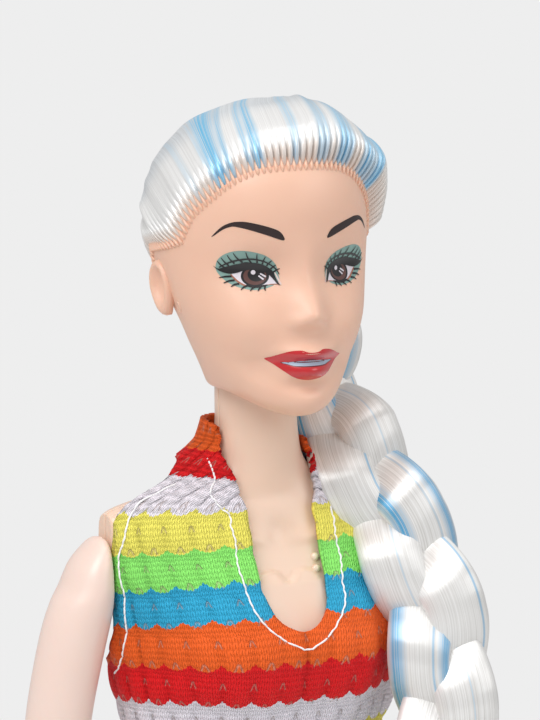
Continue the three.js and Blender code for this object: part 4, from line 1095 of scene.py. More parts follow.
# Braid band and tail
# A thin elastic band wound three times round the end of the braid, and the loose ends of the
# fibre under it. Both hang on the torso, where the band holds the braid.
BAND_HEIGHT = 2.6
BAND_RADIUS = 3.3
TAIL_LENGTH = 14
braid_end = route_fine[-1]
band_z = braid_end[2] - 0.3 - BAND_HEIGHT / 2
BAND_TURNS = 3
BAND_CORD = 0.48
band_steps = np.linspace(0, 2 * np.pi * BAND_TURNS, BAND_TURNS * 48)
band_points = []
for a in band_steps:
    share = a / band_steps[-1]
    lift = (0.5 - share) * (BAND_HEIGHT - 2 * BAND_CORD)
    reach = (BAND_RADIUS - BAND_CORD) * (1 - 0.05 * math.sin(3 * a))
    band_points.append(braid_end + np.array([reach * math.cos(a), reach * math.sin(a),
                                             band_z + lift - braid_end[2]]))


def tube(name, points, radii, sides=8):
    """Closed tube along points in part millimetres."""
    points = np.array(points, dtype=float)
    radii = np.broadcast_to(radii, len(points))
    along = unit(np.gradient(points, axis=0))
    helper = np.array([0, 0, 1.0]) if abs(along[0][2]) < 0.9 else np.array([1.0, 0, 0])
    across = unit(np.cross(helper, along[0]))
    rings = []
    for spot, way, radius in zip(points, along, radii):
        across = unit(across - way * (way @ across))
        up = np.cross(way, across)
        angles = full_turn(sides)
        rings.append(spot + radius * (np.cos(angles)[:, None] * across
                                      + np.sin(angles)[:, None] * up))
    return ring_mesh(name, place(np.array(rings)))


band = tube("braid_band_elastic", band_points, BAND_CORD, 10)
elastic = Finish("blue_elastic", {"Roughness": 0.6})
elastic.colour(elastic.mix(elastic.noise(2200, elastic.own_place()), (0.02, 0.30, 0.60, 1),
                           (0.05, 0.42, 0.72, 1)))
band.data.materials.append(elastic.material)
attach(band, "torso")
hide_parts("braid_band")

tail_top = band_z + BAND_HEIGHT / 2
TAIL_RINGS = 60
TAIL_SIDES = 72
tail_share = np.linspace(0, 1, TAIL_RINGS)
tail_side = full_turn(TAIL_SIDES)
# Half widths of the tail by the share of its length
TAIL_WIDTHS = ([0, 0.08, 0.20, 0.55, 0.9, 1], [2.0, 2.1, 2.3, 2.9, 2.1, 1.4])
tail_wide = np.interp(tail_share, *TAIL_WIDTHS)
tail_fringe = 1.3 * strand_rng.random(TAIL_SIDES)
tail_lobe = 0.10 * np.sin(9 * tail_side)[None, :] * tail_share[:, None]
tail_lobe = tail_lobe + 0.07 * np.sin(23 * tail_side + 1)[None, :]
tail_reach = tail_wide[:, None] * (1 + tail_lobe)
tail_drop = tail_share[:, None] * (BAND_HEIGHT + 0.6 + TAIL_LENGTH - tail_fringe[None, :])
tail_rings = np.stack([braid_end[0] + tail_reach * np.cos(tail_side),
                       braid_end[1] + tail_reach * np.sin(tail_side) + 0.3 * tail_share[:, None],
                       tail_top - tail_drop], axis=-1)
tail_uv = np.stack([np.broadcast_to(tail_side / (2 * np.pi), tail_lobe.shape),
                    tail_drop / 60], axis=-1)
tail = ring_mesh("braid_tail_fibre", place(tail_rings[::-1]), tail_uv[::-1])
tail.data.materials.append(hair_material("tail_fibre", 330, SILVER_SHADE, STRAND_STREAKS[2]))
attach(tail, "torso")
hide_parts("braid_tail")

# Torso and neck
# A front and a back shell of hard plastic, glued together with a parting line that shows on the
# neck and on the shoulders. The front has a raised heart on the chest. A barbed knob on the
# neck post holds the head.
CROTCH_Z = 165
TRUNK_LENGTH = 66.6
SHOULDER_Z = CROTCH_Z + TRUNK_LENGTH
NECK_RISE = 27.9
CHEST_DEPTH = 10
BUST_DEPTH = 4.4
BUST_SPREAD = 8.2
BUST_Z = SHOULDER_Z - 9.1
BUST_RADIUS = 6.6
SHOULDER_FACE_X = 0.955 * SHOULDER_HALF_WIDTH
TORSO_CUT_Z = 192
# Height, half width of the shoulders, depth in front and behind, all as shares
TORSO_ROW_SHARES = np.array([
    (0.000, 0.665, -0.52, 0.60), (0.085, 0.798, -0.84, 0.98), (0.213, 0.836, -0.97, 1.14),
    (0.341, 0.770, -0.96, 0.98), (0.468, 0.620, -0.88, 0.74), (0.575, 0.575, -0.82, 0.66),
    (0.681, 0.690, -0.85, 0.71), (0.787, 0.790, -0.96, 0.79), (0.873, 0.860, -1.02, 0.83),
    (0.951, 0.905, -0.98, 0.84), (1.035, 0.950, -0.88, 0.80), (1.160, 0.985, -0.76, 0.73),
    (1.262, 1.000, -0.66, 0.65), (1.323, 0.935, -0.60, 0.60), (1.370, 0.720, -0.55, 0.57),
    (1.424, 0.440, -0.53, 0.55), (1.512, 0.290, -0.52, 0.53), (1.661, 0.242, -0.525, 0.525),
    (1.831, 0.2386, -0.525, 0.525), (2.000, 0.2386, -0.525, 0.525),
])


def torso_points(share, angle):
    """Points of the torso's skin in part millimetres; the angle runs from the doll's left."""
    up, width, front, back = np.moveaxis(row_at(TORSO_ROW_SHARES, share), -1, 0)
    z = np.where(up < 1, CROTCH_Z + up * TRUNK_LENGTH, SHOULDER_Z + (up - 1) * NECK_RISE)
    x = SHOULDER_HALF_WIDTH * width * np.cos(angle)
    facing = -np.sin(angle)
    y = -CHEST_DEPTH * np.where(facing > 0, -front, back) * facing
    push = BUST_DEPTH * np.exp(-((np.sqrt(x * x + 5) - BUST_SPREAD) / BUST_RADIUS) ** 2
                               - ((z - BUST_Z) / BUST_RADIUS) ** 2)
    y = y - push * np.sqrt(np.clip(facing, 0, 1))
    return np.stack([x, y, z], axis=-1)


# Share of the rows at which the skin is at a height
row_shares = np.linspace(0, 1, 800)
row_heights = torso_points(row_shares, np.zeros(800))[:, 2]


def torso_share(z):
    """Share of the torso's rows at a height in part millimetres."""
    return np.interp(z, row_heights, row_shares)


# Raised heart on the chest, as points seen from the front: side and height
HEART = [(0.0, 231.6), (-1.5, 232.9), (-3.4, 232.9), (-4.8, 231.4), (-4.9, 229.2), (-3.9, 226.4),
         (-2.2, 223.6), (0.0, 220.6), (2.2, 223.6), (3.9, 226.4), (4.9, 229.2), (4.8, 231.4),
         (3.4, 232.9), (1.5, 232.9)]
HEART_RISE = 0.5
HEART_EDGE = 0.13
heart_outline = np.array(smooth_outline(HEART, 6))


def outline_reach(spots, outline):
    """Distance from each spot to a closed outline."""
    a = outline
    b = np.roll(outline, -1, axis=0)
    along = b - a
    reach = spots[:, None, :] - a[None, :, :]
    share = np.clip(np.sum(reach * along, axis=2) / np.maximum(np.sum(along * along, axis=1), 1e-9),
                    0, 1)
    return np.min(np.linalg.norm(reach - share[..., None] * along, axis=2), axis=1)


TORSO_RINGS = 330
HALF_SIDES = 120
PARTING = 0.14
PARTING_BEVEL = 0.10
# Middle height, side reach and height reach of the patch that holds the heart
HEART_ROOM = (227, 8, 9)
# Folds where the neck starts: side place and reach, height, climb to the side, reach and rise
COLLAR = (6.5, 4.6, 236.4, 0.16, 0.9, 0.42)
# Pit of the throat: height, side and height reach, and depth
THROAT = (237.2, 2.0, 2.2, 0.5)
half_share = np.linspace(torso_share(TORSO_CUT_Z), 1, TORSO_RINGS)
torso_shells = []
for shell_name, away in (("torso_front_shell", -1), ("torso_back_shell", 1)):
    turn = (-math.pi if away < 0 else 0.0) + np.linspace(0, math.pi, HALF_SIDES)
    share_grid, turn_grid = crossed(half_share, turn)
    skin_at = torso_points(share_grid, turn_grid)
    if away < 0:
        spots = skin_at[..., [0, 2]].reshape(-1, 2)
        near = np.abs(spots[:, 0]) < HEART_ROOM[1]
        near &= np.abs(spots[:, 1] - HEART_ROOM[0]) < HEART_ROOM[2]
        level = np.zeros(len(spots))
        reach = outline_reach(spots[near], heart_outline)
        reach = np.where(inside_outline(spots[near], heart_outline), reach, -reach)
        level[near] = HEART_RISE * (0.5 + 0.5 * np.tanh(reach / HEART_EDGE))
        skin_at[..., 1] -= level.reshape(skin_at.shape[:2])
        aside, aside_reach, at_z, climb, z_reach, rise = COLLAR
        beside = np.abs(skin_at[..., 0])
        skin_at[..., 1] -= rise * np.exp(-((beside - aside) / aside_reach) ** 2
                                         - ((skin_at[..., 2] - at_z - climb * beside) / z_reach) ** 2)
        at_z, aside_reach, z_reach, depth = THROAT
        skin_at[..., 1] += depth * np.exp(-(skin_at[..., 0] / aside_reach) ** 2
                                          - ((skin_at[..., 2] - at_z) / z_reach) ** 2)
    skin_at[..., 0] = np.clip(skin_at[..., 0], -SHOULDER_FACE_X, SHOULDER_FACE_X)
    bevel = PARTING_BEVEL * np.exp(-np.abs(skin_at[..., 1]) / PARTING_BEVEL)
    skin_at[..., 0] *= 1 - bevel / np.maximum(np.abs(skin_at[..., 0]), 1)
    skin_at[..., 1] = away * np.maximum(np.abs(skin_at[..., 1]), PARTING / 2)
    torso_shells.append(ring_mesh(shell_name, place(skin_at)))


def plastic(name, colour, warm, roughness, subsurface=0.1):
    """Moulded plastic with a faint mottle and fine mould marks."""
    moulded = Finish(name, {
        "Roughness": roughness, "Subsurface Weight": subsurface,
        "Subsurface Radius": (1.0, 0.4, 0.25), "Subsurface Scale": 1.4 * MM,
        "Coat Weight": 0.2, "Coat Roughness": 0.18,
    })
    where = moulded.own_place()
    mottle = moulded.between(moulded.noise(110, where, Detail=4), 0.4, 0.8, 0.35)
    moulded.colour(moulded.mix(mottle, (*colour, 1), (*warm, 1)))
    moulded.relief(moulded.noise(900, where, Detail=2), 0.06, 0.1)
    return moulded.material


torso_plastic = plastic("torso_plastic", (0.86, 0.63, 0.49), (0.84, 0.57, 0.43), 0.3)
limb_plastic = plastic("limb_plastic", (0.86, 0.67, 0.59), (0.83, 0.60, 0.51), 0.33)
white_plastic = plastic("white_plastic", (0.80, 0.79, 0.76), (0.76, 0.74, 0.70), 0.35)
for shell in torso_shells:
    shell.data.materials.append(torso_plastic)
    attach(shell, "torso")


def cad_copy(node, name, low=None, high=None):
    """Copy of a CAD node's mesh, cut and closed at the heights in millimetres that are given."""
    source = frame["nodes"][node]
    piece = bpy.data.objects.new(name, source.data.copy())
    piece.data.name = name
    piece.matrix_world = source.matrix_world.copy()
    scene.collection.objects.link(piece)
    piece.data.materials.clear()
    inward = piece.matrix_world.inverted()
    for height, way in ((low, -1), (high, 1)):
        if height is None:
            continue
        cut = bmesh.new()
        cut.from_mesh(piece.data)
        bmesh.ops.bisect_plane(cut, geom=cut.verts[:] + cut.edges[:] + cut.faces[:],
                               plane_co=inward @ Vector((0, 0, height * MM)),
                               plane_no=inward.to_3x3() @ Vector((0, 0, way)), clear_outer=True)
        bmesh.ops.holes_fill(cut, edges=[e for e in cut.edges if e.is_boundary], sides=0)
        cut.to_mesh(piece.data)
        cut.free()
    return piece


for node in ("torso_front", "torso_back"):
    hips = cad_copy(node, f"{node}_hips", high=TORSO_CUT_Z)
    hips.data.materials.append(torso_plastic)
    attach(hips, "torso")
    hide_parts(node)

# Clear tack beads that hold the neckline
TACK_BEADS = [(4.3, 234.3), (4.2, 232.9)]
BEAD_RADIUS = 0.55
BEAD_RISE = 0.42
BEAD_OUT = 0.05
bead_turns = full_turn(20)
clear_tack = Finish("clear_tack", {"Base Color": (0.9, 0.72, 0.56, 1), "Roughness": 0.12,
                                   "Coat Weight": 0.6})
clear_tack.relief(clear_tack.noise(1500), 0.1, 0.05)
for k, (x, z) in enumerate(TACK_BEADS):
    bead_share = torso_share(z)
    row_width = torso_points(np.array([bead_share]), np.array([0.0]))[0, 0]
    seat = torso_points(np.array([bead_share]), np.array([-math.acos(x / row_width)]))[0]
    rings = []
    for level in np.linspace(-1, 1, 12):
        reach = BEAD_RADIUS * math.sqrt(max(1 - level * level, 0.003))
        rings.append(np.stack([seat[0] + reach * np.cos(bead_turns),
                               seat[1] - BEAD_OUT - BEAD_RISE * level + 0 * bead_turns,
                               seat[2] + reach * np.sin(bead_turns)], axis=-1))
    bead = ring_mesh(f"tack_bead_{k + 1}", place(np.array(rings)))
    bead.data.materials.append(clear_tack.material)
    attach(bead, "torso")

# Arms
# Upper arms of hard plastic. A dome with a flat back turns against the shoulder on its plug, and
# the fork at the lower end takes the pin of the elbow.
ARM_FACE_X = SHOULDER_FACE_X + 0.3
ARM_RADIUS = 4.3
ARM_X = ARM_FACE_X + 3.4
ARM_LEAN_REACH = 5.6
UPPER_ARM_LENGTH = 33.6
ELBOW_Z = SHOULDER_Z - UPPER_ARM_LENGTH
ELBOW_X = ARM_X + ARM_LEAN_REACH
ELBOW_RADIUS = 3.7
ARM_CUT_Z = 208
# How far a fine form runs into the CAD end that it joins
JOIN_OVERLAP = 0.4
# Shares of the arm's radius: height over the shoulder, place off its face, half width and depth
SHOULDER_DOME_SHARES = [(1.40, 0.10, 0.02, 0.06), (1.36, 0.14, 0.16, 0.37),
                        (1.14, 0.19, 0.35, 0.70), (0.64, 0.37, 0.60, 0.98),
                        (-0.05, 0.51, 0.80, 1.12), (-0.56, 0.67, 0.93, 1.14),
                        (-1.45, 0.94, 0.98, 1.09)]
arm_rows = [(SHOULDER_Z + up * ARM_RADIUS, ARM_FACE_X + out * ARM_RADIUS, wide * ARM_RADIUS,
             deep * ARM_RADIUS) for up, out, wide, deep in SHOULDER_DOME_SHARES]
arm_rows += [(SHOULDER_Z - down * UPPER_ARM_LENGTH, ARM_X + down * ARM_LEAN_REACH,
              wide * ARM_RADIUS, deep * ARM_RADIUS)
             for down, wide, deep in ((0.39, 0.98, 1.02), (0.58, 0.95, 0.98), (0.8, 0.88, 0.88))]
arm_rows.append((ELBOW_Z, ELBOW_X, 0.86 * ARM_RADIUS, ELBOW_RADIUS))
arm_rows = np.array(arm_rows)


def softened(piece, voxel, rounds):
    """Remeshes a piece finely and smooths its facets away."""
    remesh = piece.modifiers.new("fine", "REMESH")
    remesh.mode = "VOXEL"
    remesh.voxel_size = voxel * MM
    remesh.use_smooth_shade = True
    relax = piece.modifiers.new("relax", "SMOOTH")
    relax.factor = 0.5
    relax.iterations = rounds
    return piece


def one_piece(piece, parts):
    """Joins further meshes to a piece, in the piece's own frame, and drops them."""
    joined = bmesh.new()
    joined.from_mesh(piece.data)
    for part in parts:
        part.data.transform(piece.matrix_world.inverted() @ part.matrix_world)
        joined.from_mesh(part.data)
        bpy.data.objects.remove(part)
    joined.to_mesh(piece.data)
    joined.free()
    return piece


ARM_SIDES = 72
ARM_RINGS = 150
for side, side_name in ((1, "left"), (-1, "right")):
    share_grid, turn_grid = crossed(np.linspace(0, 1, ARM_RINGS), full_turn(ARM_SIDES))
    rows = row_at(arm_rows, share_grid)
    keep_rows = rows[:, 0, 0] > ARM_CUT_Z
    x = rows[..., 1] + rows[..., 2] * np.cos(turn_grid)
    y = rows[..., 3] * np.sin(turn_grid)
    x = np.maximum(x, ARM_FACE_X)
    arm_rings = np.stack([side * x, y, rows[..., 0]], axis=-1)[keep_rows][::-1]
    if side < 0:
        arm_rings = arm_rings[:, ::-1]
    dome = ring_mesh(f"upper_arm_{side_name}_dome", place(arm_rings))
    hinge_end = cad_copy(f"upper_arm_{side_name}", f"upper_arm_{side_name}_plastic",
                         high=ARM_CUT_Z + JOIN_OVERLAP)
    one_piece(hinge_end, [dome])
    softened(hinge_end, 0.3, 5)
    hinge_end.data.materials.append(limb_plastic)
    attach(hinge_end, f"upper_arm_{side_name}")
    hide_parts(f"upper_arm_{side_name}")

# Forearms and hands
# The forearm turns on a pin in the elbow; palm, thumb and four fingers are moulded with it.
# They lie below the picture, so their shape is guessed from such dolls.
FOREARM_LENGTH = 30
WRIST_Z = ELBOW_Z - FOREARM_LENGTH
WRIST_X = ELBOW_X + ARM_LEAN_REACH / 3
WRIST_RADIUS = 2.1
HAND_WIDTH = 6.6
HAND_LENGTH = 17
ELBOW_HALF_WIDTH = 0.86 * ARM_RADIUS
ELBOW_KEEP = 7.5
PALM_LENGTH = 0.48 * HAND_LENGTH
FINGER_RADIUS = HAND_WIDTH / 8.4
FINGER_SHARES = [0.86, 1, 0.95, 0.76]
FINGER_LEAN = 0.12
THUMB_TURN = -0.5
# Share of a finger's length from its root, and of its radius, from the tip up
FINGER_FORM = ((1, 0.12), (0.975, 0.55), (0.9, 0.86), (0.72, 0.93), (0.66, 0.90), (0.5, 1.0),
               (0.38, 1.03), (0.3, 0.98), (0, 1.0))


def limb_rings(rows, sides, steps):
    """Fine level rings from rows of height, side place, half width, half depth and back."""
    share, angle = crossed(np.linspace(0, 1, steps + 1), full_turn(sides))
    row = row_at(np.array(rows, dtype=float), share)
    return np.stack([row[..., 1] + row[..., 2] * np.cos(angle),
                     row[..., 4] + row[..., 3] * np.sin(angle), row[..., 0]], axis=-1)


def fine_limb(name, rings, side):
    """Mesh of rings drawn for the left side, from the bottom up, or mirrored for the right."""
    if side < 0:
        rings = (rings * np.array([-1, 1, 1]))[:, ::-1]
    return ring_mesh(name, place(rings))


FOREARM_ROWS = [
    (WRIST_Z, WRIST_X, WRIST_RADIUS, 1.15 * WRIST_RADIUS, 0),
    (ELBOW_Z - 0.8 * FOREARM_LENGTH, WRIST_X, 0.62 * ELBOW_HALF_WIDTH, 0.72 * ELBOW_RADIUS, 0),
    (ELBOW_Z - 0.5 * FOREARM_LENGTH, (ELBOW_X + WRIST_X) / 2, 0.8 * ELBOW_HALF_WIDTH,
     0.9 * ELBOW_RADIUS, 0),
    (ELBOW_Z - 0.2 * FOREARM_LENGTH, ELBOW_X, 0.9 * ELBOW_HALF_WIDTH, 1.02 * ELBOW_RADIUS, 0),
    (ELBOW_Z, ELBOW_X, 0.88 * ELBOW_HALF_WIDTH, ELBOW_RADIUS, 0),
]
PALM_ROWS = [
    (WRIST_Z - PALM_LENGTH, WRIST_X, 0.6 * WRIST_RADIUS, 0.48 * HAND_WIDTH, 0),
    (WRIST_Z - 0.7 * PALM_LENGTH, WRIST_X, 0.68 * WRIST_RADIUS, 0.5 * HAND_WIDTH, 0),
    (WRIST_Z - 0.3 * PALM_LENGTH, WRIST_X, 0.75 * WRIST_RADIUS, 0.42 * HAND_WIDTH, 0),
    (WRIST_Z + WRIST_RADIUS, WRIST_X, WRIST_RADIUS, 1.15 * WRIST_RADIUS, 0),
]


def finger_rings(y, top, length, radius, lean):
    """Rings of a finger from its tip up."""
    rows = [(top - share * length, WRIST_X - lean * share * length, wide * radius, wide * radius, y)
            for share, wide in FINGER_FORM]
    return limb_rings(rows, 20, 40)


for side, side_name in ((1, "left"), (-1, "right")):
    node = f"forearm_{side_name}"
    forearm = cad_copy(node, f"{node}_plastic", ELBOW_Z - ELBOW_KEEP, ELBOW_Z + 2 * ELBOW_RADIUS)
    arm_rings = limb_rings(FOREARM_ROWS, 48, 80)
    arm_rings = arm_rings[arm_rings[:, 0, 2] < ELBOW_Z - ELBOW_KEEP + JOIN_OVERLAP]
    parts = [arm_rings, limb_rings(PALM_ROWS, 48, 40)]
    for k, share in enumerate(FINGER_SHARES):
        parts.append(finger_rings((k - 1.5) * 2.04 * FINGER_RADIUS,
                                  WRIST_Z - PALM_LENGTH + 1.6 * FINGER_RADIUS,
                                  share * (HAND_LENGTH - PALM_LENGTH) + 0.6 * FINGER_RADIUS,
                                  FINGER_RADIUS, FINGER_LEAN))
    thumb = finger_rings(0, 0, 0.5 * HAND_LENGTH, 1.2 * FINGER_RADIUS, 0)
    thumb = thumb - np.array([WRIST_X, 0, 0])
    cosine, sine = math.cos(THUMB_TURN), math.sin(THUMB_TURN)
    thumb = np.stack([thumb[..., 0], thumb[..., 1] * cosine - thumb[..., 2] * sine,
                      thumb[..., 1] * sine + thumb[..., 2] * cosine], axis=-1)
    parts.append(thumb + np.array([WRIST_X - 0.3 * WRIST_RADIUS, -0.3 * HAND_WIDTH,
                                   WRIST_Z - 0.2 * PALM_LENGTH]))
    one_piece(forearm, [fine_limb(f"forearm_part_{k}", rings, side)
                        for k, rings in enumerate(parts)])
    softened(forearm, 0.24, 4)
    forearm.data.materials.append(limb_plastic)
    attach(forearm, node)
    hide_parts(node)

# Legs
# Thighs on a hip peg and lower legs on a knee pin, in the same hard plastic as the torso. They
# lie below the picture and are guessed from such dolls.
HIP_Z = 177
KNEE_Z = 91
THIGH_RADIUS = 8.6
LEG_FACE_X = 3.7
THIGH_X = LEG_FACE_X + 0.96 * THIGH_RADIUS
KNEE_RADIUS = 5.6
KNEE_X = LEG_FACE_X + KNEE_RADIUS
ANKLE_Z = 17
ANKLE_RADIUS = 3.3
KNEE_KEEP = 11.5
THIGH_DROP = HIP_Z - KNEE_Z
SHIN_DROP = KNEE_Z - ANKLE_Z
CALF_BACK = 0.9
SHIN_END_Z = 9
HIP_PEG_X = 1.0
HIP_PEG_RADIUS = 2
THIGH_SIDES = 80
THIGH_ROWS = [
    (KNEE_Z, KNEE_X, 0.94 * KNEE_RADIUS, KNEE_RADIUS, 0),
    (HIP_Z - 0.92 * THIGH_DROP, KNEE_X, 0.96 * KNEE_RADIUS, KNEE_RADIUS, 0),
    (HIP_Z - 0.75 * THIGH_DROP, KNEE_X, 1.08 * KNEE_RADIUS, 1.12 * KNEE_RADIUS, 0),
    (HIP_Z - 0.45 * THIGH_DROP, (2 * THIGH_X + KNEE_X) / 3, 0.84 * THIGH_RADIUS,
     0.9 * THIGH_RADIUS, 0),
    (HIP_Z - 0.16 * THIGH_DROP, THIGH_X, 0.94 * THIGH_RADIUS, 0.98 * THIGH_RADIUS, 0),
    (HIP_Z, THIGH_X, 0.96 * THIGH_RADIUS, 0.99 * THIGH_RADIUS, 0),
]
KNEE_HALF_WIDTH = 0.94 * KNEE_RADIUS
SHIN_ROWS = [
    (ANKLE_Z - 9.4, KNEE_X, ANKLE_RADIUS, 1.04 * ANKLE_RADIUS, 0),
    (ANKLE_Z, KNEE_X, ANKLE_RADIUS, 1.04 * ANKLE_RADIUS, 0),
    (KNEE_Z - 0.88 * SHIN_DROP, KNEE_X, 1.02 * ANKLE_RADIUS, 1.04 * ANKLE_RADIUS, 0),
    (KNEE_Z - 0.6 * SHIN_DROP, KNEE_X, 0.84 * KNEE_HALF_WIDTH, 0.86 * KNEE_RADIUS,
     0.8 * CALF_BACK),
    (KNEE_Z - 0.34 * SHIN_DROP, KNEE_X, 1.02 * KNEE_HALF_WIDTH, 1.08 * KNEE_RADIUS, CALF_BACK),
    (KNEE_Z - 0.14 * SHIN_DROP, KNEE_X, 0.98 * KNEE_HALF_WIDTH, 1.04 * KNEE_RADIUS, 0),
    (KNEE_Z, KNEE_X, 0.96 * KNEE_HALF_WIDTH, KNEE_RADIUS, 0),
]
for side, side_name in ((1, "left"), (-1, "right")):
    node = f"thigh_{side_name}"
    thigh = cad_copy(node, f"{node}_plastic", KNEE_Z - 2 * KNEE_RADIUS, KNEE_Z + KNEE_KEEP)
    rings = limb_rings(THIGH_ROWS, THIGH_SIDES, 160)
    rings = rings[rings[:, 0, 2] > KNEE_Z + KNEE_KEEP - JOIN_OVERLAP]
    angle, turn = crossed(np.linspace(-0.5 * math.pi, 0.5 * math.pi, 40),
                          full_turn(THIGH_SIDES))
    ball = np.stack([THIGH_X + THIGH_RADIUS * np.cos(angle) * np.cos(turn),
                     THIGH_RADIUS * np.cos(angle) * np.sin(turn),
                     HIP_Z + THIGH_RADIUS * np.sin(angle)], axis=-1)[1:-1]
    for form in (rings, ball):
        form[..., 0] = np.maximum(form[..., 0], LEG_FACE_X)
    peg_x = HIP_PEG_X + (THIGH_X - HIP_PEG_X) * np.linspace(0, 1, 3)
    peg = np.stack(np.broadcast_arrays(
        peg_x[:, None], HIP_PEG_RADIUS * np.cos(turn[0]),
        HIP_Z + HIP_PEG_RADIUS * np.sin(turn[0])), axis=-1)
    one_piece(thigh, [fine_limb("thigh_form", rings, side), fine_limb("thigh_ball", ball, side),
                      fine_limb("thigh_peg", peg, side)])
    softened(thigh, 0.5, 4)
    shin_node = f"lower_leg_{side_name}"
    shin = cad_copy(shin_node, f"{shin_node}_plastic", KNEE_Z - KNEE_KEEP,
                    KNEE_Z + 2 * KNEE_RADIUS)
    foot = cad_copy(shin_node, f"{shin_node}_foot", 0, ANKLE_Z - 1)
    rings = limb_rings(SHIN_ROWS, 72, 160)
    heights = rings[:, 0, 2]
    rings = rings[(heights < KNEE_Z - KNEE_KEEP + JOIN_OVERLAP) & (heights > SHIN_END_Z)]
    one_piece(shin, [foot, fine_limb("shin_form", rings, side)])
    softened(shin, 0.42, 4)
    for piece, body in ((thigh, node), (shin, shin_node)):
        piece.data.materials.append(torso_plastic)
        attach(piece, body)
        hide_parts(body)

# Hinge pins and neck post
# Plain round pins show at both sides of each elbow and knee. The white neck post with its knob
# sits inside the head.
for node, material in [("neck_post", white_plastic)] + [
        (f"{joint}_pin_{side_name}", torso_plastic if joint == "knee" else limb_plastic)
        for joint in ("elbow", "knee") for side_name in ("left", "right")]:
    piece = frame["nodes"][node]
    piece.data.materials.clear()
    piece.data.materials.append(material)
    rounding = piece.modifiers.new("rounding", "BEVEL")
    rounding.width = 0.15 * MM
    rounding.segments = 2
    rounding.limit_method = "ANGLE"

# Boots
# Ankle boots of soft glossy vinyl on thick ribbed soles, laced at the front. They lie below the
# picture and are guessed from such dolls.
SOLE_THICKNESS = 4
SOLE_LENGTH = 27
SOLE_HALF_WIDTH = 5
SOLE_HEEL = 8.4
SHOE_TOP_Z = 15
LACE_RADIUS = 0.28
# Depth and height of each lace at the middle of the boot
LACES = [(-4.9, 13.3), (-5.15, 11.6), (-6.9, 10.35), (-9.2, 9.35)]
CUFF_TURNS = 49
WELT_INSET = 0.92
HEEL_SHARE = 0.86
boot_vinyl = plastic("boot_vinyl", (0.86, 0.855, 0.85), (0.80, 0.79, 0.78), 0.2, 0.0)
sole_rubber = plastic("sole_rubber", (0.82, 0.81, 0.79), (0.74, 0.73, 0.71), 0.5, 0.0)
for side, side_name in ((1, "left"), (-1, "right")):
    body = f"lower_leg_{side_name}"
    x = side * KNEE_X
    upper = cad_copy(f"boot_upper_{side_name}", f"boot_upper_{side_name}_vinyl")
    softened(upper, 0.2, 6)
    upper.data.materials.append(boot_vinyl)
    sole = cad_copy(f"boot_sole_{side_name}", f"boot_sole_{side_name}_rubber")
    edge = sole.modifiers.new("edge", "BEVEL")
    edge.width = 0.45 * MM
    edge.segments = 3
    edge.limit_method = "ANGLE"
    sole.data.materials.append(sole_rubber)
    # Welt along the top of the sole, a bound top edge and laces over the instep
    toe_y = SOLE_HEEL - SOLE_LENGTH + SOLE_HALF_WIDTH
    heel_y = SOLE_HEEL - HEEL_SHARE * SOLE_HALF_WIDTH
    loop = []
    for way, middle_y, reach in ((1, toe_y, SOLE_HALF_WIDTH),
                                 (-1, heel_y, HEEL_SHARE * SOLE_HALF_WIDTH)):
        reach *= WELT_INSET
        loop += [(x + way * reach * math.cos(a), middle_y - way * reach * math.sin(a),
                  SOLE_THICKNESS + 0.12) for a in np.linspace(0, math.pi, 20)]
    loop = np.array(loop)
    ways = [("welt", np.concatenate([loop, loop[:1]]), 0.45, sole_rubber)]
    turn = np.linspace(0, 2 * math.pi, CUFF_TURNS)
    cuff = 1.04 * ANKLE_RADIUS + 0.3 + 0.45
    ways.append(("cuff", np.stack([x + cuff * np.cos(turn), cuff * np.sin(turn),
                                   np.full(CUFF_TURNS, SHOE_TOP_Z - 0.3)], axis=-1), 0.5, boot_vinyl))
    for k, (y, z) in enumerate(LACES):
        half = 1.5 + 0.2 * k
        across = np.linspace(-1, 1, 13)
        ways.append((f"lace_{k + 1}", np.stack([x + half * across, y + 0.55 * across ** 2 * (k < 2),
                                                z - 0.75 * across ** 2 * (k >= 2)], axis=-1),
                     LACE_RADIUS, white_plastic))
    for name, path, radius, material in ways:
        piece = tube(f"boot_{side_name}_{name}", path, radius, 12)
        piece.data.materials.append(material)
        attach(piece, body)
    for piece, node in ((upper, f"boot_upper_{side_name}"), (sole, f"boot_sole_{side_name}")):
        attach(piece, body)
        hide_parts(node)

# Playsuit
# One knitted garment: a halter front with a band round the nape, a low back that closes with a
# hook and loop strip, and short legs. The knit is striped, with scalloped stripes and eyelets.
KNIT_PITCH = 2.9
STRIPE_BOTTOMS = [248.2, 244.4, 241.0, 236.8, 232.4, 227.7, 223.1, 218.3]
STRIPE_STEP = 4.6
STRIPE_TOP = 253.2
STRIPE_LOW = 140.0
KNIT_RED = (0.90, 0.006, 0.010)
KNIT_WHITE = (0.94, 0.90, 0.97)
KNIT_YELLOW = (1.0, 0.92, 0.15)
KNIT_GREEN = (0.31, 0.96, 0.18)
KNIT_BLUE = (0.03, 0.45, 0.74)
KNIT_ORANGE = (1.0, 0.14, 0.014)
KNIT_CYCLE = [KNIT_ORANGE, KNIT_RED, KNIT_WHITE, KNIT_YELLOW, KNIT_GREEN, KNIT_BLUE]


# Widths in millimetres of a stitch and of the tent of an eyelet, and heights of both
STITCH_WIDTH = 0.44
STITCH_HEIGHT = 0.62
EYELET_HALF_WIDTH = 0.20
EYELET_HALF_HEIGHT = (0.3, 0.46)
EYELET_SLIT = (0.05, 0.13)


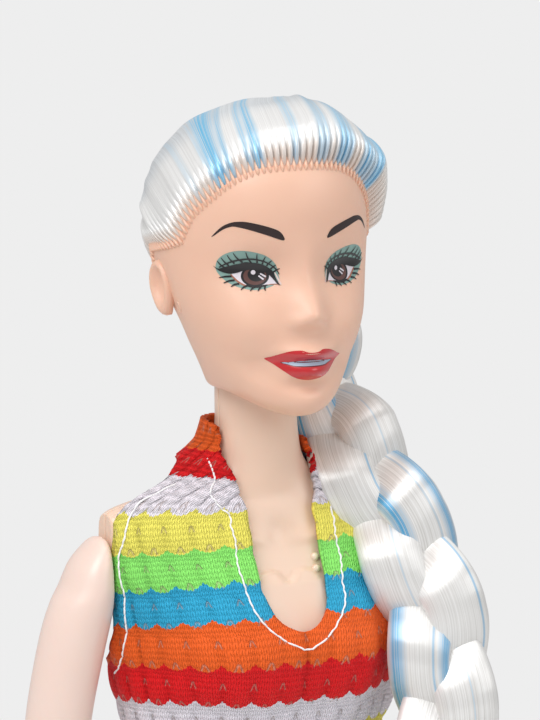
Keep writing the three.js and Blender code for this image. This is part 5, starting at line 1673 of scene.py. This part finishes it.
def knit_material(name):
    """Striped knit. The UV map holds millimetres round the body and millimetres of height."""
    knit = Finish(name, {"Roughness": 0.62, "Specular IOR Level": 0.3})
    maths = knit.maths
    flat, flat_across, flat_up = knit.flat_place()
    loose = maths("SUBTRACT", knit.noise(0.9, flat, Detail=2), 0.5)
    across = maths("MULTIPLY_ADD", loose, 0.30, flat_across)
    up = maths("MULTIPLY_ADD", loose, 0.35, flat_up)
    # Stripes: scalloped and slightly slanting
    lobe = maths("ABSOLUTE", maths("SINE", maths("MULTIPLY", across, math.pi / KNIT_PITCH)))
    level = maths("MULTIPLY_ADD", lobe, 0.62, maths("MULTIPLY_ADD", across, -0.022, up))
    # Each stitch is a small V, so the stripe borders are toothed by one course
    wale = maths("FRACT", maths("DIVIDE", across, STITCH_WIDTH))
    wing = maths("ABSOLUTE", maths("SUBTRACT", wale, 0.5))
    toothed = maths("MULTIPLY_ADD", wing, -0.35, level)
    share = maths("DIVIDE", maths("SUBTRACT", STRIPE_TOP, toothed), STRIPE_TOP - STRIPE_LOW)
    starts = [STRIPE_TOP] + STRIPE_BOTTOMS
    while starts[-1] > STRIPE_LOW + STRIPE_STEP:
        starts.append(starts[-1] - STRIPE_STEP)
    stops = [((STRIPE_TOP - start) / (STRIPE_TOP - STRIPE_LOW), KNIT_CYCLE[k % len(KNIT_CYCLE)])
             for k, start in enumerate(starts)]
    stripes = knit.ramp(share, stops + [(1.0, KNIT_CYCLE[-1])], "CONSTANT")
    # Stitches: slanting legs of each V, between sunken lines of the wales
    slant = maths("MULTIPLY_ADD", wing, 1.5, maths("DIVIDE", up, STITCH_HEIGHT))
    course = maths("SINE", maths("MULTIPLY", slant, 2 * math.pi))
    course = maths("MULTIPLY_ADD", course, 0.5, 0.5)
    leg = maths("ABSOLUTE", maths("SINE", maths("MULTIPLY", wale, 2 * math.pi)))
    stitch = maths("MULTIPLY", maths("MULTIPLY_ADD", course, 0.6, 0.4), maths("POWER", leg, 0.7))
    # Eyelets: two staggered rows to a stripe, each a small tent of two slits
    row = maths("DIVIDE", maths("SUBTRACT", up, 0.55), STRIPE_STEP / 2)
    stagger = maths("FRACT", maths("MULTIPLY", maths("FLOOR", row), 0.5))
    column = maths("FRACT", maths("ADD", maths("DIVIDE", across, KNIT_PITCH), stagger))
    aside = maths("MULTIPLY", maths("ABSOLUTE", maths("SUBTRACT", column, 0.5)), KNIT_PITCH)
    rise = maths("MULTIPLY", maths("SUBTRACT", maths("FRACT", row), 0.45), STRIPE_STEP / 2)
    tent = maths("MULTIPLY_ADD", rise, 0.42, maths("SUBTRACT", aside, EYELET_HALF_WIDTH))
    slit = knit.between(maths("ABSOLUTE", tent), EYELET_SLIT[1], EYELET_SLIT[0])
    tall = knit.between(maths("ABSOLUTE", rise), EYELET_HALF_HEIGHT[1], EYELET_HALF_HEIGHT[0])
    hole = maths("MULTIPLY", slit, tall)
    # The eyelets show the skin below the knit, darkened by painted shade
    shaded_skin_through = knit.mix(maths("MULTIPLY", hole, 0.42), stripes, (0.58, 0.42, 0.34, 1))
    # Painted shade darkens the sunken lines between the stitches
    valley_painted_shade = maths("MULTIPLY", maths("SUBTRACT", 1.0, stitch), 0.5)
    knit.colour(knit.mix(valley_painted_shade, shaded_skin_through, (0.70, 0.66, 0.69, 1), "MULTIPLY"))
    knit.relief(maths("SUBTRACT", stitch, hole), 0.9, 0.2)
    return knit.material


striped_knit = knit_material("striped_knit")
CLOTH_GAP = 0.45
CLOTH_THICKNESS = 0.75
CLOTH_SPACING = 0.55
BODICE_LOW_Z = 185.9
SIDE_SPREAD = 15.0
# Edges seen from the front, as side and height
NECKLINE = [(6.2, 247.6), (5.7, 244.4), (5.1, 241.2), (4.95, 238.0), (4.95, 234.6),
            (4.9, 231.6), (4.6, 229.1), (3.8, 227.2), (2.5, 225.9), (1.2, 225.3), (0.0, 225.2)]
# Edges as the angle round the body past the side, towards the front, and the height
ARMHOLE = [(-0.04, 222.6), (0.05, 223.6), (0.13, 225.6), (0.18, 229.0), (0.20, 233.0),
           (0.24, 236.6), (0.34, 239.4), (0.32, 241.4), (0.16, 243.4), (-0.08, 245.4)]
BACK_TOP = [(-math.pi / 2, 216.0), (-1.10, 216.3), (-0.65, 218.2), (-0.28, 221.2)]
STRAP_LOW_Z = 246.0
STRAP_TOP_Z = 251.2
# Half width of the strap's outer side, and the angles past the side of its edges, by height
STRAP_REACH = ([240.4, 241.0, 242.6, 244.1, 245.7, 246.6, 248.3, 250.3, 251.6],
               [0, 17.3, 15.0, 12.4, 10.6, 9.4, 7.6, 6.7, 6.2])
STRAP_INNER = ([240.6, 242.4, 244.4, 247.6, 249.6, 251.2], [1.33, 1.2, 0.88, 0.39, 0.3, 0.1])
STRAP_OUTER = ([241.4, 243.4, 245.4, 251.2], [0.32, 0.16, -0.08, -0.3])


def cloth_points(turn, z, out):
    """Points outside the torso in part millimetres, at an angle round it and a height."""
    share = torso_share(z)
    small = 1e-3
    spot = torso_points(share, turn)
    round_way = torso_points(share, turn + small) - torso_points(share, turn - small)
    up_way = (torso_points(torso_share(z + 0.15), turn)
              - torso_points(torso_share(z - 0.15), turn))
    normal = unit(np.cross(round_way, up_way))
    return spot + normal * np.asarray(out)[..., None]


def cloth_out(turn, z, across):
    """How far the knit stands off the body: puckers, a loose side and a bridge at the neck."""
    side = np.abs(np.cos(turn))
    front = np.clip(-np.sin(turn), 0, 1)
    # Puckers between the scallops of the stripes
    lobe = np.abs(np.sin(np.pi * across / KNIT_PITCH))
    pucker = 0.42 * lobe ** 0.7 * np.abs(np.sin(np.pi * (z - 0.62 * lobe) / STRIPE_STEP)) ** 0.7
    # Taut over the hollow of the chest, loose at the sides, and a bridge beside the neck
    aside = np.sqrt((half_width(z) * np.cos(turn)) ** 2 + 6)
    spread = np.exp(-((aside - BUST_SPREAD) / BUST_RADIUS) ** 2)
    taut = 0.62 * BUST_DEPTH * (0.97 - spread) * np.exp(-((z - BUST_Z) / BUST_RADIUS) ** 2)
    taut = np.where(aside < BUST_SPREAD, taut, 0) * front
    loose = 0.75 * side ** 6 * np.exp(-((z - 217) / 8) ** 2)
    bridge = 0.5 * side ** 1.5 * np.exp(-((z - 245.0) / 2.6) ** 2)
    ripple = 0.16 * np.sin(across * 0.55 + 0.9) * np.sin(z * 0.42 + 1.3) * (0.4 + 0.6 * front)
    return CLOTH_GAP + pucker + loose + bridge + ripple + np.maximum(taut, 0)


def half_width(z):
    """Half width of the torso at a height."""
    return torso_points(torso_share(np.asarray(z, dtype=float)), np.zeros(np.shape(z)))[..., 0]


def front_turn(x, z):
    """Angle round the body of a point of the front, from its side place."""
    return -math.acos(np.clip(x / (half_width(z) + 1.0), -1, 1))


def flat_spot(turn, z):
    """Place on the flat pattern of an angle and a height."""
    return ((turn + math.pi / 2) * SIDE_SPREAD, z)


right_edge = [(-math.pi - a, z) for a, z in ((math.pi / 2, BODICE_LOW_Z),)]
right_edge += [(-math.pi + a, z) for a, z in BACK_TOP + ARMHOLE]
right_edge += [(-math.pi - 0.5, STRAP_LOW_Z - 0.2), (-math.pi - math.pi / 2, STRAP_LOW_Z)]
right_edge += [(-math.pi - math.pi / 2, STRAP_TOP_Z), (-math.pi - 0.5, STRAP_TOP_Z),
               (-math.pi + 0.1, STRAP_TOP_Z - 0.3), (-math.pi + 0.3, STRAP_TOP_Z - 1.6)]
right_edge += [(front_turn(-x, z), z) for x, z in NECKLINE]
pattern = [flat_spot(turn, z) for turn, z in right_edge]
pattern += [(-s, z) for s, z in pattern[-2::-1]]


def even_outline(points, spacing, sharp):
    """Outline with points at an even spacing, smooth but for its sharp corners."""
    out = []
    count = len(points)
    for k in range(count):
        a, b, c, d = (np.array(points[(k + n) % count]) for n in (-1, 0, 1, 2))
        if k in sharp:
            a = b - (c - b)
        if (k + 1) % count in sharp:
            d = c + (c - b)
        steps = max(1, int(np.hypot(*(c - b)) / spacing))
        out += [tuple(curve_point(a, b, c, d, s / steps)) for s in range(steps)]
    return out


corners = {0, 1, 1 + len(BACK_TOP) + len(ARMHOLE) + 1, 1 + len(BACK_TOP) + len(ARMHOLE) + 2}
corners |= {len(pattern) - k for k in (1, 2)} | {len(pattern) - 1 - k for k in corners}
pattern_edge = even_outline(pattern, CLOTH_SPACING, corners)


def thick_knit(piece, thickness):
    """Gives a sheet its thickness, outwards, and the striped knit."""
    shell = piece.modifiers.new("thickness", "SOLIDIFY")
    shell.thickness = thickness * MM
    shell.offset = 1
    piece.data.materials.append(striped_knit)
    return piece


def cloth_sheet(name, outline, out_of, place_of, thickness):
    """Sheet of knit over a flat pattern, laid on the body and thickened outwards."""
    spots = np.array(outline)
    low, high = spots.min(axis=0), spots.max(axis=0)
    ways = [np.arange(low[k], high[k], CLOTH_SPACING) for k in range(2)]
    grid = np.stack(np.meshgrid(*ways), axis=-1).reshape(-1, 2)
    grid = grid[inside_outline(grid, outline)]
    near = np.concatenate([outline_reach(part, spots) for part in np.array_split(grid, 40)])
    flat, faces = filled(spots, grid[near > 0.4 * CLOTH_SPACING])
    laid = place_of(flat[:, 0], flat[:, 1], out_of(flat[:, 0], flat[:, 1]))
    piece = new_piece(name, place(laid), faces)
    layer = piece.data.uv_layers.new(name="UVMap")
    corners_of = np.zeros(len(piece.data.loops), dtype=int)
    piece.data.loops.foreach_get("vertex_index", corners_of)
    layer.data.foreach_set("uv", flat[corners_of].astype(np.float32).ravel())
    return thick_knit(piece, thickness)


def bodice_out(s, z):
    """How far the halter stands off the body at a spot of its flat pattern."""
    return cloth_out(s / SIDE_SPREAD - math.pi / 2, z, s)


# Where the strap lies nearer the neck on the doll's left, and by how much
STRAP_NEAR_Z = 244.5
STRAP_NEAR = 1.6
# How far the braid presses the nape strap down there, from which height and over what rise
STRAP_PRESS = 2.6
STRAP_PRESS_Z = 244
STRAP_PRESS_RISE = 7
ARM_ROOM = 0.98


def bodice_place(s, z, out):
    """Points of the halter at spots of its flat pattern and heights off the body."""
    turn = s / SIDE_SPREAD - math.pi / 2
    laid = cloth_points(turn, z, out)
    # The strap lies on the neck at its inner edge and spans to the shoulder at its outer one
    strap = np.interp(z, *STRAP_REACH)
    strap = strap - np.where((np.cos(turn) > 0) & (z > STRAP_NEAR_Z), STRAP_NEAR, 0)
    past = np.arcsin(np.clip(-np.sin(turn), -1, 1))
    inner, outer = np.interp(z, *STRAP_INNER), np.interp(z, *STRAP_OUTER)
    share = np.clip((inner - past) / (inner - outer), 0, 1)
    slack = np.clip(strap - half_width(z) - out, 0, None) * share * np.cos(turn) ** 2
    laid[..., 2] -= (STRAP_PRESS * np.clip(np.cos(turn) / 0.8, 0, 1)
                     * np.clip((z - STRAP_PRESS_Z) / STRAP_PRESS_RISE, 0, 1))
    side = np.sign(np.cos(turn))
    reach = ARM_FACE_X - ARM_ROOM + out - bodice_out(s, z)
    laid[..., 0] = side * np.minimum(np.abs(laid[..., 0]) + slack, reach)
    return laid


bodice = cloth_sheet("halter_front", pattern_edge, bodice_out, bodice_place, CLOTH_THICKNESS)
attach(bodice, "torso")
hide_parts("halter_bodice")

# The short legs: each sheet runs from the centre front round the hip to the centre back and
# closes round the thigh below the crotch.
HEM_Z = 148
HEM_FLARE = 0.5
HEM_FLARE_RISE = 12
SHORTS_TOP_Z = 185.6
SHORTS_TURNS = 200
SHORTS_RINGS = 110
# Millimetres of knit to a radian round the leg
SHORTS_SPREAD = 10.5
SHORTS_OUT = CLOTH_GAP + 0.15
SHORTS_PUCKER = 0.18
LEG_SPLIT = 0.06
# The leg takes the torso's form from this height on, over this rise
SEAT_LOW_Z = 159
SEAT_RISE = 12
CROTCH_HALF_DEPTH = 5.5
SECTION_TURNS = 721
thigh_shares = np.linspace(0, 1, 400)
thigh_heights = row_at(np.array(THIGH_ROWS), thigh_shares)[:, 0]


def shorts_ring(z, turns, outwards):
    """Ring of the left leg of the playsuit at a height and a distance off the skin."""
    share = np.interp(min(z, HIP_Z), thigh_heights, thigh_shares)
    centre, wide, deep = row_at(np.array(THIGH_ROWS), share)[1:4]
    if z > HIP_Z:
        centre = THIGH_X
        wide = deep = THIGH_RADIUS * math.sqrt(max(1 - ((z - HIP_Z) / THIGH_RADIUS) ** 2, 0.02))
    flare = np.clip((HEM_Z + HEM_FLARE_RISE - z) / HEM_FLARE_RISE, 0, 1)
    ease = outwards + HEM_FLARE * flare ** 2
    thigh_reach = 1 / np.sqrt((np.cos(turns) / (wide + ease)) ** 2
                              + (np.sin(turns) / (deep + ease)) ** 2)
    section = cloth_points(np.linspace(-np.pi, np.pi, SECTION_TURNS),
                           np.full(SECTION_TURNS, max(z, CROTCH_Z + 0.5)),
                           np.full(SECTION_TURNS, float(outwards)))
    aside = section[:, 0] - centre
    bearing = np.arctan2(section[:, 1], aside)
    order = np.argsort(bearing)
    torso_reach = np.interp(turns, bearing[order], np.hypot(aside, section[:, 1])[order],
                            period=2 * np.pi)
    weight = eased(np.clip((z - SEAT_LOW_Z) / SEAT_RISE, 0, 1))
    reach = thigh_reach + np.maximum(torso_reach - thigh_reach, 0) * weight
    # No further than the middle of the body
    split = np.where(np.cos(turns) < -1e-6, (centre - LEG_SPLIT)
                     / np.maximum(-np.cos(turns), 1e-6), 1e6)
    reach = np.minimum(reach, split)
    return np.stack([centre + reach * np.cos(turns), reach * np.sin(turns),
                     np.full(SHORTS_TURNS, z)], axis=-1)


def shorts_leg(side, side_name):
    """One leg of the playsuit, open between the legs above the crotch."""
    heights = np.linspace(HEM_Z, SHORTS_TOP_Z, SHORTS_RINGS)
    turns = np.linspace(-np.pi, np.pi, SHORTS_TURNS, endpoint=False)
    points = np.array([shorts_ring(z, turns, SHORTS_OUT) for z in heights])
    for _ in range(6):
        points[1:-1] = (points[:-2] + 2 * points[1:-1] + points[2:]) / 4
    across, up = np.meshgrid((turns + np.pi / 2) * SHORTS_SPREAD, heights)
    pucker = SHORTS_PUCKER * (np.abs(np.sin(np.pi * across / KNIT_PITCH))
                              * np.abs(np.sin(np.pi * (up - 0.5) / (STRIPE_STEP / 2))))
    out_way = np.stack([np.cos(turns), np.sin(turns), 0 * turns], axis=-1)
    points = points + out_way[None] * pucker[..., None]
    points[..., 0] = np.maximum(points[..., 0], LEG_SPLIT)
    faces = []
    for r in range(SHORTS_RINGS - 1):
        for i in range(SHORTS_TURNS):
            j = (i + 1) % SHORTS_TURNS
            middle = points[[r, r, r + 1, r + 1], [i, j, j, i]].mean(axis=0)
            inner = middle[0] < LEG_SPLIT + 0.02 or (
                middle[0] < THIGH_X and abs(middle[1]) < CROTCH_HALF_DEPTH)
            if heights[r] > CROTCH_Z + 0.4 and inner:
                continue
            face = (r * SHORTS_TURNS + i, r * SHORTS_TURNS + j,
                    (r + 1) * SHORTS_TURNS + j, (r + 1) * SHORTS_TURNS + i)
            faces.append(face if side > 0 else face[::-1])
    vertices = (points * np.array([side, 1, 1])).reshape(-1, 3)
    piece = new_piece(f"shorts_leg_{side_name}_knit", place(vertices), faces)
    mesh = piece.data
    flat = np.stack([across, up], axis=-1).reshape(-1, 2)
    layer = mesh.uv_layers.new(name="UVMap")
    for poly in mesh.polygons:
        first_s = flat[mesh.loops[poly.loop_indices[0]].vertex_index][0]
        for corner in poly.loop_indices:
            s, z = flat[mesh.loops[corner].vertex_index]
            # A face over the seam of the map keeps its corners together
            if abs(s - first_s) > 30:
                s += 2 * np.pi * SHORTS_SPREAD * (1 if s < 0 else -1)
            layer.data[corner].uv = (s, z)
    loose_ends = bmesh.new()
    loose_ends.from_mesh(mesh)
    bmesh.ops.delete(loose_ends, geom=[v for v in loose_ends.verts if not v.link_faces],
                     context="VERTS")
    loose_ends.to_mesh(mesh)
    loose_ends.free()
    return thick_knit(piece, CLOTH_THICKNESS)


for side, side_name in ((1, "left"), (-1, "right")):
    leg = shorts_leg(side, side_name)
    tuple(place([side * THIGH_X, -9, SHORTS_TOP_Z]))
    tuple(place([side * THIGH_X, -14.6, SHORTS_TOP_Z - 11.2]))
    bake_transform(leg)
    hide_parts(f"shorts_leg_{side_name}")

# A ribbed band covers the seam at the waist, and a narrow one the seam between the legs
seam_rib = Finish("seam_rib", {"Roughness": 0.7})
rib = seam_rib.noise(1400, seam_rib.own_place())
seam_rib.colour(seam_rib.mix(rib, (*KNIT_WHITE, 1), (0.62, 0.60, 0.66, 1)))
seam_rib.relief(rib, 0.4, 0.1)
WAIST_SEAM_Z = 185.7
WAIST_TURNS = 241
SEAM_SPOTS = 60
# Height over the seam and radius of each rib
WAIST_RIBS = [(-0.75, 0.42), (0.0, 0.5), (0.75, 0.42)]
turn = np.linspace(0, 2 * np.pi, WAIST_TURNS)
for k, (lift, radius) in enumerate(WAIST_RIBS):
    path = cloth_points(turn, np.full(WAIST_TURNS, WAIST_SEAM_Z + lift),
                        np.full(WAIST_TURNS, CLOTH_GAP + CLOTH_THICKNESS + 0.15))
    rib_ring = tube(f"waist_rib_{k + 1}", path, radius, 8)
    rib_ring.data.materials.append(seam_rib.material)
    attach(rib_ring, "torso")
for name, turn_at in (("front", -math.pi / 2), ("back", math.pi / 2)):
    heights = np.linspace(CROTCH_Z - 0.4, WAIST_SEAM_Z - 1, SEAM_SPOTS)
    path = cloth_points(np.full(SEAM_SPOTS, turn_at), np.maximum(heights, CROTCH_Z + 0.5),
                        np.full(SEAM_SPOTS, CLOTH_GAP + CLOTH_THICKNESS - 0.05))
    path[:, 2] = heights
    seam = tube(f"centre_seam_{name}", path, 0.22, 8)
    seam.data.materials.append(seam_rib.material)
    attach(seam, "torso")

# The white topstitch thread runs inside the neckline and inside the armholes
STITCH_INSET = 1.6
ARMHOLE_INSET = 2.4
STITCH_LENGTH = 1.15
STITCH_RADIUS = 0.125
STITCH_SPACING = 0.12
stitch_thread = Finish("stitch_thread", {"Base Color": (0.93, 0.92, 0.93, 1), "Roughness": 0.5})
stitch_thread.relief(stitch_thread.noise(3000, stitch_thread.own_place()), 0.4, 0.05)
stitch_white = stitch_thread.material


def stitch_line(name, spots, inset):
    """Thread laid on the knit along flat pattern spots, moved to their left by the inset."""
    spots = np.array(spots, dtype=float)
    run = run_along(spots)
    spots = row_at(spots, np.interp(np.linspace(0, run[-1], 60), run, np.linspace(0, 1, len(run))))
    way = np.gradient(spots, axis=0)
    way = way / np.maximum(np.hypot(way[:, 0], way[:, 1]), 1e-9)[:, None]
    spots = spots + inset * np.stack([-way[:, 1], way[:, 0]], axis=-1)
    run = run_along(spots)
    even = np.linspace(0, run[-1], int(run[-1] / STITCH_SPACING))
    s, z = np.interp(even, run, spots[:, 0]), np.interp(even, run, spots[:, 1])
    sway = 0.07 * np.sin(even * 1.1) + 0.03 * np.sin(even * 5.3)
    arch = np.abs(np.sin(np.pi * even / STITCH_LENGTH)) ** 0.5
    laid = bodice_place(s + sway, z, bodice_out(s + sway, z) + CLOTH_THICKNESS - 0.08 + 0.2 * arch)
    thread = tube(name, laid, STITCH_RADIUS * (0.75 + 0.25 * arch), 8)
    thread.data.materials.append(stitch_white)
    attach(thread, "torso")


neckline_spots = [flat_spot(front_turn(-x, z), z) for x, z in NECKLINE]
neckline_spots += [(-s, z) for s, z in neckline_spots[-2::-1]]
stitch_line("neckline_stitch", neckline_spots, -STITCH_INSET)
armhole_spots = [flat_spot(-math.pi + a, z) for a, z in ARMHOLE]
stitch_line("armhole_stitch_right", armhole_spots, -ARMHOLE_INSET)
stitch_line("armhole_stitch_left", [(-s, z) for s, z in armhole_spots], ARMHOLE_INSET)

# Hook and loop closure down the middle of the back
CLOSURE_HALF_WIDTH = 2.5
CLOSURE_LOW_Z = 188.6
CLOSURE_TOP_Z = 213.3
CLOSURE_THICKNESS = 0.55
CLOSURE_OUT = 0.62
loop_fabric = Finish("loop_fabric", {"Base Color": (0.86, 0.85, 0.84, 1), "Roughness": 0.85,
                                     "Sheen Weight": 0.3})
loops = loop_fabric.feed(loop_fabric.nodes.new("ShaderNodeTexVoronoi"),
                         {"Scale": 1900, "Vector": loop_fabric.own_place()})
loop_fabric.relief(loops.outputs["Distance"], 0.6, 0.12)
closure_spots = [(-CLOSURE_HALF_WIDTH, CLOSURE_LOW_Z), (CLOSURE_HALF_WIDTH, CLOSURE_LOW_Z),
                 (CLOSURE_HALF_WIDTH, CLOSURE_TOP_Z), (-CLOSURE_HALF_WIDTH, CLOSURE_TOP_Z)]


def closure_out(s, z):
    """Height of the strip off the body, over the knit and its puckers."""
    return np.full(np.shape(s), CLOTH_GAP + CLOTH_THICKNESS + CLOSURE_OUT)


def closure_place(s, z, out):
    """Points of the strip at places from the middle of the back and heights."""
    return cloth_points(math.pi / 2 - s / (half_width(z) * 0.95), z, out)


closure = cloth_sheet("back_closure_strip", even_outline(closure_spots, CLOTH_SPACING,
                                                         {0, 1, 2, 3}),
                      closure_out, closure_place, CLOSURE_THICKNESS)
closure.data.materials.clear()
closure.data.materials.append(loop_fabric.material)
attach(closure, "torso")
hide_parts("back_closure")
for side in (-1, 1):
    heights = np.linspace(CLOSURE_LOW_Z + 0.5, CLOSURE_TOP_Z - 0.5, 180)
    arch = np.abs(np.sin(np.pi * heights / 1.3)) ** 0.5
    path = closure_place(np.full(180, side * (CLOSURE_HALF_WIDTH - 0.6)), heights,
                         closure_out(heights, heights) + CLOSURE_THICKNESS - 0.1 + 0.12 * arch)
    seam = tube(f"closure_stitch_{'left' if side > 0 else 'right'}", path, 0.16, 6)
    seam.data.materials.append(stitch_white)
    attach(seam, "torso")
